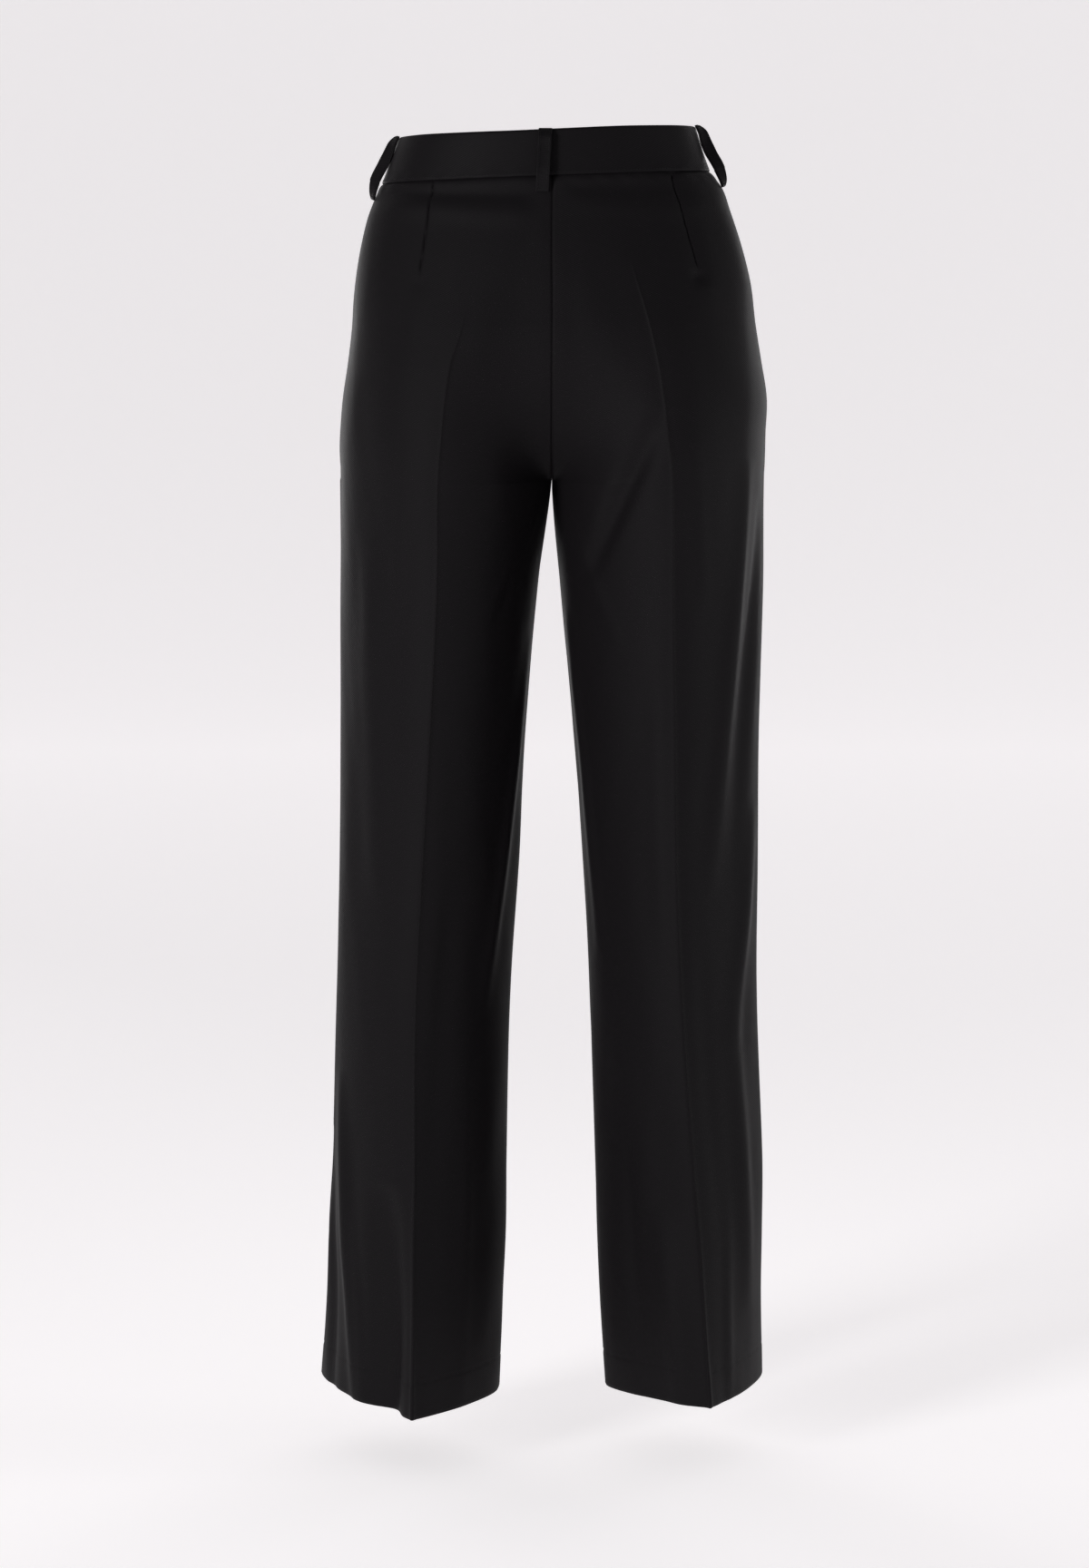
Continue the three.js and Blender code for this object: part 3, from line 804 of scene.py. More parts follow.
def levels_of(leg: Leg) -> np.ndarray:
    """Spaces out a leg's rows, closest together where the cloth is sewn.

    Args:
        leg: The leg.

    Returns:
        The rows' heights, from the top down.
    """
    hem, line = leg.hem, leg.hem + HEM_TURN_UP
    rows = spread((
        (hem, 0.8), (hem + 4, 2.0), (line - 4, 1.2), (line + 4, 2.0), (hem + 60, 4.2), (-420, 4.2),
        (-330, 3.0), (CROTCH_Z - 4, 1.2), (CROTCH_Z, 0.6), (CROTCH_Z + 3, 0.8), (-270, 2.4),
        (-130, 3.0), (PANEL_TOP - 16, 1.8), (PANEL_TOP - 5, 0.7), (PANEL_TOP, 0.6),
    ))
    return rows[::-1]


def pocket_mouth(z: np.ndarray) -> np.ndarray:
    """Returns where the pocket mouth crosses each height."""
    return -POCKET_REACH * np.clip((z - POCKET_BOTTOM) / (-WAISTBAND_HEIGHT - POCKET_BOTTOM), 0, 1)


# The height, the lengths across and along the cloth, and the start of each wave in it.
WAVES = (
    (0.22, 83.0, 410.0, 0.3),
    (0.18, 61.0, -290.0, 1.7),
    (0.08, 37.0, 230.0, 2.9),
    (0.05, -45.0, 140.0, 4.1),
    (0.03, 23.0, 97.0, 5.2),
)


def unevenness(z: np.ndarray, arc: np.ndarray, phase: float) -> np.ndarray:
    """Works out the slight waviness that hanging cloth always has.

    Args:
        z: Heights.
        arc: Places along the rows.
        phase: Sets two pieces apart.

    Returns:
        How far each place is pushed out.
    """
    bend = 0.8 * np.sin(z / 67 + phase) + 0.6 * np.sin(arc / 31 - z / 113)
    total = np.zeros(np.broadcast(z, arc).shape)
    for height, across, along, start in WAVES:
        total += height * np.sin(2 * math.pi * (arc / across + z / along) + start + phase + bend)
    return total


@dataclass(frozen=True)
class Cut:
    """The flat size that a piece is cut to, in metres and square metres, its allowances with it."""

    width: float
    length: float
    area: float


def place(
    item: bpy.types.Object,
    material: bpy.types.Material,
    nodes: tuple[str, ...],
) -> bpy.types.Object:
    """Sets a cloth piece on the part, in place of the solids that it stands for.

    Args:
        item: The piece.
        material: What it is made of.
        nodes: The solids that it stands for.

    Returns:
        The piece.
    """
    item.data.materials.append(material)
    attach(item, "root")
    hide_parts(*nodes)
    log.info("%s: %d faces", item.name, len(item.data.polygons))
    return item


BACK_CUT = Cut(0.36, 1.06, 0.31)
FRONT_CUT = Cut(0.33, 1.05, 0.27)


@dataclass
class Panel:
    """A front or back panel: its shell, its seam ditches, its pressed crease and its hem's sewing line."""

    leg: Leg
    rear: bool
    cut: Cut
    crease_height: float = 2.2
    crease_width: float = 1.9
    bead_height: float = 0.3  # the crease's sharpest edge
    bead_width: float = 0.9
    ditch_depth: float = 1.2
    ditch_width: float = 0.95
    allowance_height: float = 0.18  # the seam's allowance, felt beside the ditch
    prick_depth: float = 0.35  # where the hem's stitches pull
    turn_up_height: float = 0.25  # the cloth over the turned-up layer
    edge_roll: float = 0.9  # at the hem's fold
    pucker: float = 0.25  # ripples under the waistband
    seam_swell: float = 0.55
    seam_depth: float = 1.1
    sag_height: float = 1.5  # the soft fold just below the waistband, and the dip above it
    sag_depth: float = 1.3
    covered_depth: float = 1.6  # the deepest ditch that the waistband still covers
    grid: Grid = field(init=False)

    @property
    def name(self) -> str:
        """The panel's name, which is its solid's too."""
        return f"{'back' if self.rear else 'front'}_{self.leg.name}"

    def places(self, z: np.ndarray) -> np.ndarray:
        """Works out where the columns run. In front they close up on the pocket mouth.

        Args:
            z: Heights, one a row.

        Returns:
            u by row and column.
        """
        if self.rear:
            return np.broadcast_to(BACK_COLUMNS, (len(z), len(BACK_COLUMNS)))
        u = np.broadcast_to(FRONT_COLUMNS, (len(z), len(FRONT_COLUMNS)))
        return np.where(u > -1, mix(-1, pocket_mouth(z)[:, None], u + 1), u)

    def relief(self, z: np.ndarray, smooth: Grid) -> np.ndarray:
        """Adds up the shallow forms that the solids leave out.

        Args:
            z: Heights, by row.
            smooth: The panel with its main folds.

        Returns:
            How far each point is pushed out.
        """
        columns = BACK_COLUMNS if self.rear else FRONT_COLUMNS
        arc = smooth.arcs()
        crease = int(np.argmin(np.abs(columns - (1 if self.rear else -1))))
        from_crease = np.abs(arc - arc[:, crease : crease + 1])
        total = unevenness(z, arc, self.leg.side + 2 * self.rear)
        start = self.leg.crease_start
        pressed = 0.35 * ramp(z, start, start - 60) + 0.65 * ramp(z, start - 60, start - 420)
        total = total + self.crease_height * pressed * np.exp(-from_crease / self.crease_width)
        total += self.bead_height * ramp(z, start, start - 40) * bell(from_crease, self.bead_width)
        edges = np.minimum(arc, arc[:, -1:] - arc)
        total -= self.ditch_depth * bell(edges, self.ditch_width)
        total += self.allowance_height * bell(edges - 8, 5)
        hem_line = self.leg.hem + HEM_TURN_UP
        total -= self.prick_depth * bell(z - hem_line, 1.3) * (1 + 0.5 * np.sin(arc / 2.1))
        total += self.turn_up_height * ramp(z, hem_line + 6, hem_line - 2)
        total -= self.edge_roll * bell(z - self.leg.hem, 1.2)
        return self.held_up(z, total + self.waist_relief(z, arc, smooth.points))

    def waist_relief(self, z: np.ndarray, arc: np.ndarray, points: np.ndarray) -> np.ndarray:
        """Works out what the waistband's seam does to the cloth below it, and the dart.

        Args:
            z: Heights, by row.
            arc: Places along the rows.
            points: The panel's points.

        Returns:
            How far each point is pushed out.
        """
        seam = -WAISTBAND_HEIGHT
        total = self.pucker * np.sin(arc / 3.1 + 1.3 * np.sin(arc / 17)) * bell(z - seam + 3, 5)
        total = total + self.seam_swell * bell(z - seam + 5, 3.5)
        total -= self.seam_depth * bell(z - seam - 0.4, 1.7)
        share = 1.0 if self.leg.side > 0 else 0.55
        inside = ramp(points[..., 0], 6, 30) * (1 - ramp(points[..., 0], 120, 150))
        drift = 5 * np.sin(points[..., 0] / 38 + self.leg.side)
        sag = self.sag_height * bell(z + 64 + drift, 9) - self.sag_depth * bell(z + 50 + 0.5 * drift, 6)
        total += share * inside * sag
        return total + self.leg.dart.relief(points) if self.rear else total

    def held_up(self, z: np.ndarray, total: np.ndarray) -> np.ndarray:
        """Keeps the ditches under the waistband shallow enough that it still covers the panel's edge."""
        return np.where(z > -WAISTBAND_HEIGHT - 3, np.maximum(total, -self.covered_depth), total)

    def shape(self) -> None:
        """Works out the outer face."""
        z = levels_of(self.leg)
        u = self.places(z)
        rows = z[:, None]
        points = self.leg.point(rows, u)
        smooth = Grid(points, directions_of(points))
        folds = self.leg.fold_depth(self.leg.folds, rows, u)
        folded = smooth.moved(folds + self.leg.fold_depth(self.leg.drag_lines, rows, u))
        with_folds = Grid(folded, directions_of(folded))
        done = with_folds.moved(self.relief(rows, with_folds))
        done = self.centred(z, done)
        if not self.rear:
            done = self.lapped(rows, done, with_folds.directions)
        self.grid = Grid(done, with_folds.directions)

    def centred(self, z: np.ndarray, points: np.ndarray) -> np.ndarray:
        """Keeps the panel on its side of the middle and brings its centre edge onto the centre seam.

        Args:
            z: Heights, one a row.
            points: The panel's points.

        Returns:
            The points.
        """
        points[..., 0] = np.maximum(points[..., 0], SEAM_REST)
        points[z > CROTCH_Z, -1 if self.rear else 0, 0] = SEAM_REST
        return points

    def lapped(self, z: np.ndarray, points: np.ndarray, directions: np.ndarray) -> np.ndarray:
        """Laps the right front over the left one at the fly.

        Args:
            z: Heights, by row.
            points: The front panel's points.
            directions: Their outward directions.

        Returns:
            The points, the right edge moved across the middle or the left edge sunk below it.
        """
        edge = 1 - ramp(points[..., :1], 2.0, 14.0)
        if self.leg.side < 0:
            share = edge * ramp(z, FLY_END - FLY_TAPER, FLY_END)[..., None]
            return points - share * np.array([FLY_LAP, 0, 0]) + 0.5 * share * directions
        sunk = edge * ramp(z, POCKET_BOTTOM - 20, POCKET_BOTTOM)[..., None]
        return points - sunk * directions * FLY_SINK

    def build(self, material: bpy.types.Material) -> bpy.types.Object:
        """Makes the panel's shell.

        Args:
            material: The cloth.

        Returns:
            The panel.
        """
        self.shape()
        inner = self.grid.moved(-CLOTH)
        z = levels_of(self.leg)
        closed = z < (0 if self.rear or self.leg.side > 0 else FLY_END - FLY_TAPER)
        inner[closed] = self.centred(z[closed], inner[closed])
        item = wall(f"{self.name}_shell", self.grid.points, inner, self.leg.side)
        nodes = tuple(f"{self.name}_{length}" for length in LENGTHS)
        return place(item, material, nodes)

    def line(self, inset: np.ndarray, high: float, low: float) -> np.ndarray:
        """Follows a line on the finished panel, at a distance from its centre or side edge.

        Args:
            inset: The distance at each row, or one for all. Below 0 it counts from the side edge.
            high: The height where the line starts.
            low: The height where it ends.

        Returns:
            The line's points, in the panel's real place.
        """
        z = levels_of(self.leg)
        arc = self.grid.arcs()
        inset = np.broadcast_to(np.asarray(inset, float), z.shape)
        at = np.where(inset >= 0, inset, arc[:, -1] + inset)
        if self.rear:
            at = arc[:, -1] - at
        rows = np.flatnonzero((z <= high) & (z >= low))
        points = self.grid.points
        line = np.array([[np.interp(at[i], arc[i], points[i, :, k]) for k in range(3)] for i in rows])
        return line * self.leg.mirror

    def across(self, z: float) -> np.ndarray:
        """Follows the finished panel round at one height.

        Args:
            z: The height.

        Returns:
            The points of the nearest row, in the panel's real place.
        """
        row = int(np.argmin(np.abs(levels_of(self.leg) - z)))
        return self.grid.points[row] * self.leg.mirror


@dataclass
class PocketFacing:
    """The hip facing that shows in the slanted pocket mouth."""

    leg: Leg
    cut: Cut = Cut(0.07, 0.155, 0.0051)

    def build(self, material: bpy.types.Material) -> bpy.types.Object:
        """Makes the facing's shell, sunk a little at the mouth.

        Args:
            material: The cloth.

        Returns:
            The facing.
        """
        z = spread(((POCKET_BOTTOM + 4, 2.0), (-90, 4.0), (PANEL_TOP, 2.0)))[::-1][:, None]
        share = np.linspace(-0.06, 1, 20)[None, :]
        u = mix(pocket_mouth(z[:, 0])[:, None], 0, share)
        points = self.leg.point(z, u)
        grid = Grid(points, directions_of(points))
        arc = grid.arcs()
        sink = POCKET_SINK * (1 - np.clip(share, 0, 1)) + 0.25 * (share < 0)
        ditch = 0.8 * bell(arc[:, -1:] - arc, 1.5)
        outer, inner = grid.moved(-sink - ditch), grid.moved(-sink - ditch - POCKET_WALL)
        name = f"pocket_{self.leg.name}"
        item = wall(f"{name}_shell", outer, inner, self.leg.side)
        back = f"back_{self.leg.name}_shell"
        return place(item, material, (name,))


@dataclass
class HemTurnUp:
    """The hem allowance, folded up inside the leg and blind stitched."""

    leg: Leg
    panels: tuple[Panel, Panel]
    cut: Cut = Cut(0.62, 0.032, 0.0185)

    def build(self, material: bpy.types.Material) -> bpy.types.Object:
        """Makes the allowance from the lowest rows of the front and the back.

        Args:
            material: The cloth's wrong side.

        Returns:
            The allowance.
        """
        z = levels_of(self.leg)
        rows = np.flatnonzero(z <= self.leg.hem + HEM_TURN_UP + 0.5)
        front, back = (panel.grid for panel in self.panels)
        joined = [
            np.concatenate([in_front[rows], behind[rows][:, 1:]], axis=1)[:, ::2]
            for in_front, behind in ((front.points, back.points), (front.directions, back.directions))
        ]
        grid = Grid(*joined)
        grid.points[:, -1] = grid.points[:, 0]
        grid.directions[:, 0] = grid.directions[:, -1] = np.array([-1.0, 0, 0])
        outer, inner = grid.moved(-CLOTH - HEM_REST), grid.moved(-CLOTH - HEM_REST - HEM_WALL)
        name = f"hem_{self.leg.name}"
        item = wall(f"{name}_shell", outer, inner, self.leg.side, ring=True)
        shell = f"back_{self.leg.name}_shell"
        return place(item, material, (name,))


def waist_points(leg: Leg, z: np.ndarray, u: np.ndarray) -> np.ndarray:
    """Places points on the waist, the wearer's right ones mirrored into place.

    Args:
        leg: The side that they lie on.
        z: Heights.
        u: Places round that side.

    Returns:
        The points.
    """
    points = leg.point(z, u)
    points[..., 0] = np.where(points[..., 0] <= SEAM_REST, 0, points[..., 0]) * leg.side
    return points


@dataclass
class Waistband:
    """The band: two pressed layers over a stiffener, which closes right over left in front."""

    cut: Cut = Cut(0.76, 0.042, 0.03)
    half_columns: int = 180
    lap_columns: int = 17
    under_columns: int = 5
    top_roll: float = 1.1
    seam_roll: float = 0.35
    ripple: float = 0.22  # along the seam
    top_wave: float = 0.35
    face: np.ndarray = field(init=False)  # its outer points

    def path(self) -> tuple[list[tuple[Leg, np.ndarray]], np.ndarray]:
        """Works out the band's run, from under its lap round the waist and over its own start.

        Returns:
            Stretches of places round each leg, and how far each place is lifted for the lap.
        """
        half_way = -WAISTBAND_HEIGHT / 2
        reach = {leg.name: float(leg.sections.at("front_x", np.array(half_way))) for leg in LEGS}
        under = -2 + CLOSURE_UNDERLAP / reach["right"]
        over = -2 + CLOSURE_LAP / reach["left"]
        stretches = [
            (RIGHT_LEG, np.linspace(under, -2, self.under_columns + 1)[:-1]),
            (LEFT_LEG, np.linspace(-2, 2, self.half_columns)),
            (RIGHT_LEG, np.linspace(2, -2, self.half_columns)[1:]),
            (LEFT_LEG, np.linspace(-2, over, self.lap_columns + 1)[1:]),
        ]
        flat = np.zeros(self.under_columns + self.half_columns)
        rise = CLOSURE_LIFT * ramp(-stretches[2][1], 1.5, 1.9)
        return stretches, np.concatenate([flat, rise, np.full(self.lap_columns, CLOSURE_LIFT)])

    def build(self, material: bpy.types.Material) -> bpy.types.Object:
        """Makes the band with rolled edges and the small ripples that its seam gives it.

        Args:
            material: The pressed cloth.

        Returns:
            The band.
        """
        stretches, lifts = self.path()
        z = np.array([0, -0.35, -1.0, -2.0, *np.linspace(-4, -34, 13), -36, -37.2, -37.8, -38])[:, None]
        points = np.concatenate([waist_points(leg, z, u[None, :]) for leg, u in stretches], axis=1)
        grid = Grid(points, directions_of(points))
        arc = grid.arcs()
        rolled = self.top_roll * (1 - ramp(-z, 0, 1.6)) ** 1.5
        rolled = rolled + self.seam_roll * (1 - ramp(z + WAISTBAND_HEIGHT, 0, 0.6)) ** 1.5
        ripple = self.ripple * np.sin(arc / 3.3 + 1.4 * np.sin(arc / 23)) * bell(z + 35.5, 3.5)
        soft = 0.3 * np.sin(arc / 26 + 0.8) * np.sin(arc / 61) + 0.15 * np.sin(arc / 9.0 + z / 11)
        grid.points[..., 2] += self.top_wave * np.sin(arc / 31 + 0.5) * (1 - ramp(-z, 0, 24))
        outer = grid.moved(WAISTBAND_PROUD + lifts[None, :] + ripple + soft - rolled)
        inner = grid.moved(WAISTBAND_PROUD - WAISTBAND_WALL + lifts[None, :] + rolled * 0.8)
        self.face = outer
        item = wall("waistband_shell", outer, inner)
        nodes = ("waistband",)
        return place(item, material, nodes)


# Places down a loop's run, and how far it stands off there. A side loop is flatter above, fuller below.
LOOP_SHARES = (0, 0.04, 0.13, 0.3, 0.48, 0.64, 0.78, 0.9, 1)
LOOP_STAND_OFF = (0, 2, 5.4, 5.4, 6.2, 6.8, 6, 2.6, 0)
SIDE_STAND_OFF = (0, 1.4, 3.0, 3.2, 4.2, 5.8, 6.2, 3.4, 0)
SIDE_PLACE, BACK_PLACE, FRONT_PLACE = 0.08, 1.93, -1.0  # where the loops sit, round a leg


@dataclass
class BeltLoop:
    """A folded strap, sewn down at the waistband's upper edge and just below its seam."""

    name: str
    leg: Leg
    u: float
    bulge: float = 1.1
    slant: float = 0.0  # how far its lower end is carried along the waist
    twist: float = 0.0  # how far its middle is turned out of line with the waist, in degrees
    stand_off: tuple[float, ...] = LOOP_STAND_OFF
    width: float = 11.0
    wall: float = 2.4
    below_seam: float = 14.0
    contact: float = 0.4
    sewn_in: float = 1.9  # its rows of stitches, from its edges
    sewn_depth: float = 0.4
    sections: int = 61
    round_steps: int = 28
    cut: Cut = Cut(0.011, 0.066, 0.00072)
    face: np.ndarray = field(init=False)  # the middle of its outer side, from its upper end down
    sideways: np.ndarray = field(init=False)  # its direction across, at the same places

    def frame(self) -> tuple[np.ndarray, np.ndarray]:
        """Works out the directions along and out of the waistband at the loop.

        Returns:
            The two unit vectors.
        """
        z = -WAISTBAND_HEIGHT / 2
        step = 0.05
        ends = waist_points(self.leg, np.array([z, z]), np.array([self.u + step, self.u - step]))
        rise = waist_points(self.leg, np.array([z / 2, z * 1.5]), np.array([self.u, self.u]))
        along = (ends[0] - ends[1]) * self.leg.side
        upward = (rise[0] - rise[1]) / np.linalg.norm(rise[0] - rise[1])
        outward = np.cross(along, upward)
        outward /= np.linalg.norm(outward)
        return np.cross(upward, outward), outward

    def build(self, material: bpy.types.Material) -> bpy.types.Object:
        """Makes the strap by carrying its rounded section down its run.

        Args:
            material: The pressed cloth.

        Returns:
            The loop.
        """
        sideways, outward = self.frame()
        share = np.linspace(0, 1, self.sections)
        off = np.interp(share, LOOP_SHARES, self.stand_off)
        off = np.convolve(np.pad(off, 2, mode="edge"), np.ones(5) / 5, mode="valid") * self.bulge
        off[0] = off[-1] = 0
        z = -(WAISTBAND_HEIGHT + self.below_seam) * share
        proud = WAISTBAND_PROUD * ramp(z, -WAISTBAND_HEIGHT - 2, -WAISTBAND_HEIGHT)
        middle = waist_points(self.leg, z, np.full_like(z, self.u))
        middle = middle + outward * (proud + self.contact + off + self.wall / 2)[:, None]
        middle = middle + sideways * (self.slant * share)[:, None]
        turn = math.radians(self.twist) * np.sin(math.pi * share)[:, None] ** 0.6
        sideways, outward = (
            np.cos(turn) * sideways + np.sin(turn) * outward,
            np.cos(turn) * outward - np.sin(turn) * sideways,
        )
        angle = np.linspace(0, 2 * math.pi, self.round_steps + 1)[:-1]
        half_wide, half_thick = self.width / 2, self.wall / 2
        across = np.sign(np.cos(angle)) * np.abs(np.cos(angle)) ** 0.3 * half_wide
        through = np.sign(np.sin(angle)) * np.abs(np.sin(angle)) ** 0.55 * half_thick
        from_row = np.abs(across) - half_wide + self.sewn_in
        through = through - self.sewn_depth * (through > 0) * bell(from_row, 0.6)
        wobble = 1 + 0.012 * np.sin(share * 19 + self.u)
        ring = middle[:, None, :] + sideways[:, None] * (across[None, :] * wobble[:, None])[..., None]
        ring = ring + outward[:, None] * through[None, :, None]
        self.face, self.sideways = middle + outward * half_thick, sideways
        nodes = (self.name,)
        item = self.tube(ring)
        return place(item, material, nodes)

    def tube(self, ring: np.ndarray) -> bpy.types.Object:
        """Closes the carried sections into one mesh.

        Args:
            ring: Points by section and place round it.

        Returns:
            The loop's object.
        """
        rows, columns = ring.shape[:2]
        index = np.arange(rows * columns).reshape(rows, columns)
        after = np.roll(index, -1, axis=1)
        sides = np.stack([index[:-1], index[1:], after[1:], after[:-1]], axis=-1).reshape(-1, 4)
        half = columns // 2
        caps = []
        for row, turned in ((0, False), (rows - 1, True)):
            for k in range(half - 1):
                corners = [index[row, k], index[row, k + 1], index[row, -k - 2], index[row, -k - 1]]
                caps.append(corners[::-1] if turned else corners)
        faces = np.concatenate([sides, np.array(caps)])
        arc = np.broadcast_to(np.linspace(0, 2 * self.width, columns), (rows, columns))
        uv = np.stack([arc, ring[..., 2]], axis=-1).reshape(-1, 2) * MM
        return make_mesh(f"{self.name}_strap", ring.reshape(-1, 3), faces, uv)


@dataclass
class Button:
    """The waistband's button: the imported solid's own form, smoothed."""

    sharp_angle: float = 50.0  # in degrees, below which the turned form is smooth

    def build(self, source: bpy.types.Object, resin: bpy.types.Material) -> bpy.types.Object:
        """Dresses the button.

        Args:
            source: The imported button.
            resin: The button's material.

        Returns:
            The button.
        """
        mesh = source.data.copy()
        mesh.name = "button_resin"
        mesh.transform(source.matrix_world)
        work = bmesh.new()
        work.from_mesh(mesh)
        bmesh.ops.remove_doubles(work, verts=work.verts, dist=1e-6)
        work.to_mesh(mesh)
        work.free()
        mesh.polygons.foreach_set("use_smooth", np.ones(len(mesh.polygons), bool))
        mesh.set_sharp_from_angle(angle=math.radians(self.sharp_angle))
        mesh.materials.clear()
        mesh.materials.append(resin)
        item = add_object("button_resin", mesh)
        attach(item, "root")
        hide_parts("button")
        log.info("%s: %d faces", item.name, len(mesh.polygons))
        return item


def stitch_tree(thread: bpy.types.Material) -> tuple[bpy.types.GeometryNodeTree, dict[str, str]]:
    """Builds the nodes that set one stitch at each place, along the place's own run.

    Args:
        thread: The thread's material.

    Returns:
        The tree and its inputs' identifiers by name.
    """
    tree = bpy.data.node_groups.new("set_stitches", "GeometryNodeTree")
    sockets = {"Places": "NodeSocketGeometry", "Thread width": "NodeSocketFloat", "Seed": "NodeSocketInt"}
    names = {
        name: tree.interface.new_socket(name, in_out="INPUT", socket_type=kind).identifier
        for name, kind in sockets.items()
    }
    tree.interface.new_socket("Stitches", in_out="OUTPUT", socket_type="NodeSocketGeometry")
    given = add_node(tree, "NodeGroupInput")
    ball = add_node(tree, "GeometryNodeMeshUVSphere", {"Segments": 8, "Rings": 5, "Radius": 0.5})
    run = add_node(tree, "GeometryNodeInputNamedAttribute", {"data_type": "FLOAT_VECTOR", "Name": "run"})
    length = add_node(tree, "ShaderNodeVectorMath", {"operation": "LENGTH"}, {0: run.outputs[0]})
    limits = {"data_type": "FLOAT", 2: 0.88, 3: 1.08}
    uneven = add_node(tree, "FunctionNodeRandomValue", limits, {"Seed": given.outputs["Seed"]})
    factors = {0: length.outputs["Value"], 1: uneven.outputs[1]}
    drawn = add_node(tree, "ShaderNodeMath", {"operation": "MULTIPLY"}, factors)
    width = given.outputs["Thread width"]
    sizes = {"X": drawn.outputs[0], "Y": width, "Z": width}
    size = add_node(tree, "ShaderNodeCombineXYZ", links=sizes)
    turn = add_node(tree, "FunctionNodeAlignRotationToVector", {"axis": "X"}, {"Vector": run.outputs[0]})
    links = {
        "Points": given.outputs["Places"],
        "Instance": ball.outputs["Mesh"],
        "Rotation": turn.outputs[0],
        "Scale": size.outputs[0],
    }
    stitches = add_node(tree, "GeometryNodeInstanceOnPoints", links=links)
    real = add_node(tree, "GeometryNodeRealizeInstances", links={0: stitches.outputs[0]})
    smooth = add_node(tree, "GeometryNodeSetShadeSmooth", links={"Geometry": real.outputs[0]})
    sewn = add_node(tree, "GeometryNodeSetMaterial", {"Material": thread}, {"Geometry": smooth.outputs[0]})
    add_node(tree, "NodeGroupOutput", links={0: sewn.outputs[0]})
    return tree, names


@dataclass
class Stitching:
    """Rows of stitches in one thread, worked out here as places and runs and set by Geometry Nodes."""

    name: str
    thread_width: float = 0.5  # real thread is 0.3 mm thick, drawn coarser so that it shows
    seed: int = 7
    places: list[np.ndarray] = field(default_factory=list)
    runs: list[np.ndarray] = field(default_factory=list)

    def row(self, path: np.ndarray, pitch: float = 2.7, length: float = 2.1) -> None:
        """Adds a row of stitches along a path.

        Args:
            path: The path's points.
            pitch: From one stitch to the next.
            length: A stitch's length.
        """
        middles, along = evenly(path, pitch)
        self.places.append(middles)
        self.runs.append(along * length)

    def bar(self, path: np.ndarray, across: np.ndarray, length: float, pitch: float = 0.5) -> None:
        """Adds a bar tack or a buttonhole's side: close stitches laid across a path.

        Args:
            path: The path's points.
            across: The stitches' direction.
            length: A stitch's length.
            pitch: From one stitch to the next.
        """
        middles, _ = evenly(path, pitch)
        self.places.append(middles)
        self.runs.append(np.broadcast_to(across * length, middles.shape))

    def build(self, thread: bpy.types.Material) -> bpy.types.Object:
        """Sets the stitches.

        Args:
            thread: The thread's material.

        Returns:
            The stitches, as one piece.
        """
        places, runs = np.concatenate(self.places) * MM, np.concatenate(self.runs) * MM
        mesh = bpy.data.meshes.new(self.name)
        mesh.from_pydata(places.tolist(), [], [])
        attribute = mesh.attributes.new("run", "FLOAT_VECTOR", "POINT")
        attribute.data.foreach_set("vector", runs.astype(np.float32).ravel())
        item = add_object(self.name, mesh)
        tree, names = stitch_tree(thread)
        modifier = item.modifiers.new("stitches", "NODES")
        modifier.node_group = tree
        modifier[names["Thread width"]] = self.thread_width * MM
        modifier[names["Seed"]] = self.seed
        graph = bpy.context.evaluated_depsgraph_get()
        sewn = bpy.data.meshes.new_from_object(item.evaluated_get(graph), depsgraph=graph)
        item.modifiers.clear()
        item.data = sewn
        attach(item, "root")
        log.info("%s: %d stitches, %d faces", self.name, len(places), len(sewn.polygons))
        return item


def evenly(path: np.ndarray, pitch: float) -> tuple[np.ndarray, np.ndarray]:
    """Divides a path into even steps.

    Args:
        path: The path's points.
        pitch: The step's length.

    Returns:
        The steps' middles and their directions.
    """
    along = np.concatenate([[0], np.cumsum(np.linalg.norm(np.diff(path, axis=0), axis=1))])
    count = max(2, round(along[-1] / pitch))
    marks = np.linspace(0, along[-1], count + 1)
    ends = np.stack([np.interp(marks, along, path[:, k]) for k in range(3)], axis=-1)
    steps = np.diff(ends, axis=0)
    return (ends[:-1] + ends[1:]) / 2, steps / np.linalg.norm(steps, axis=1, keepdims=True)


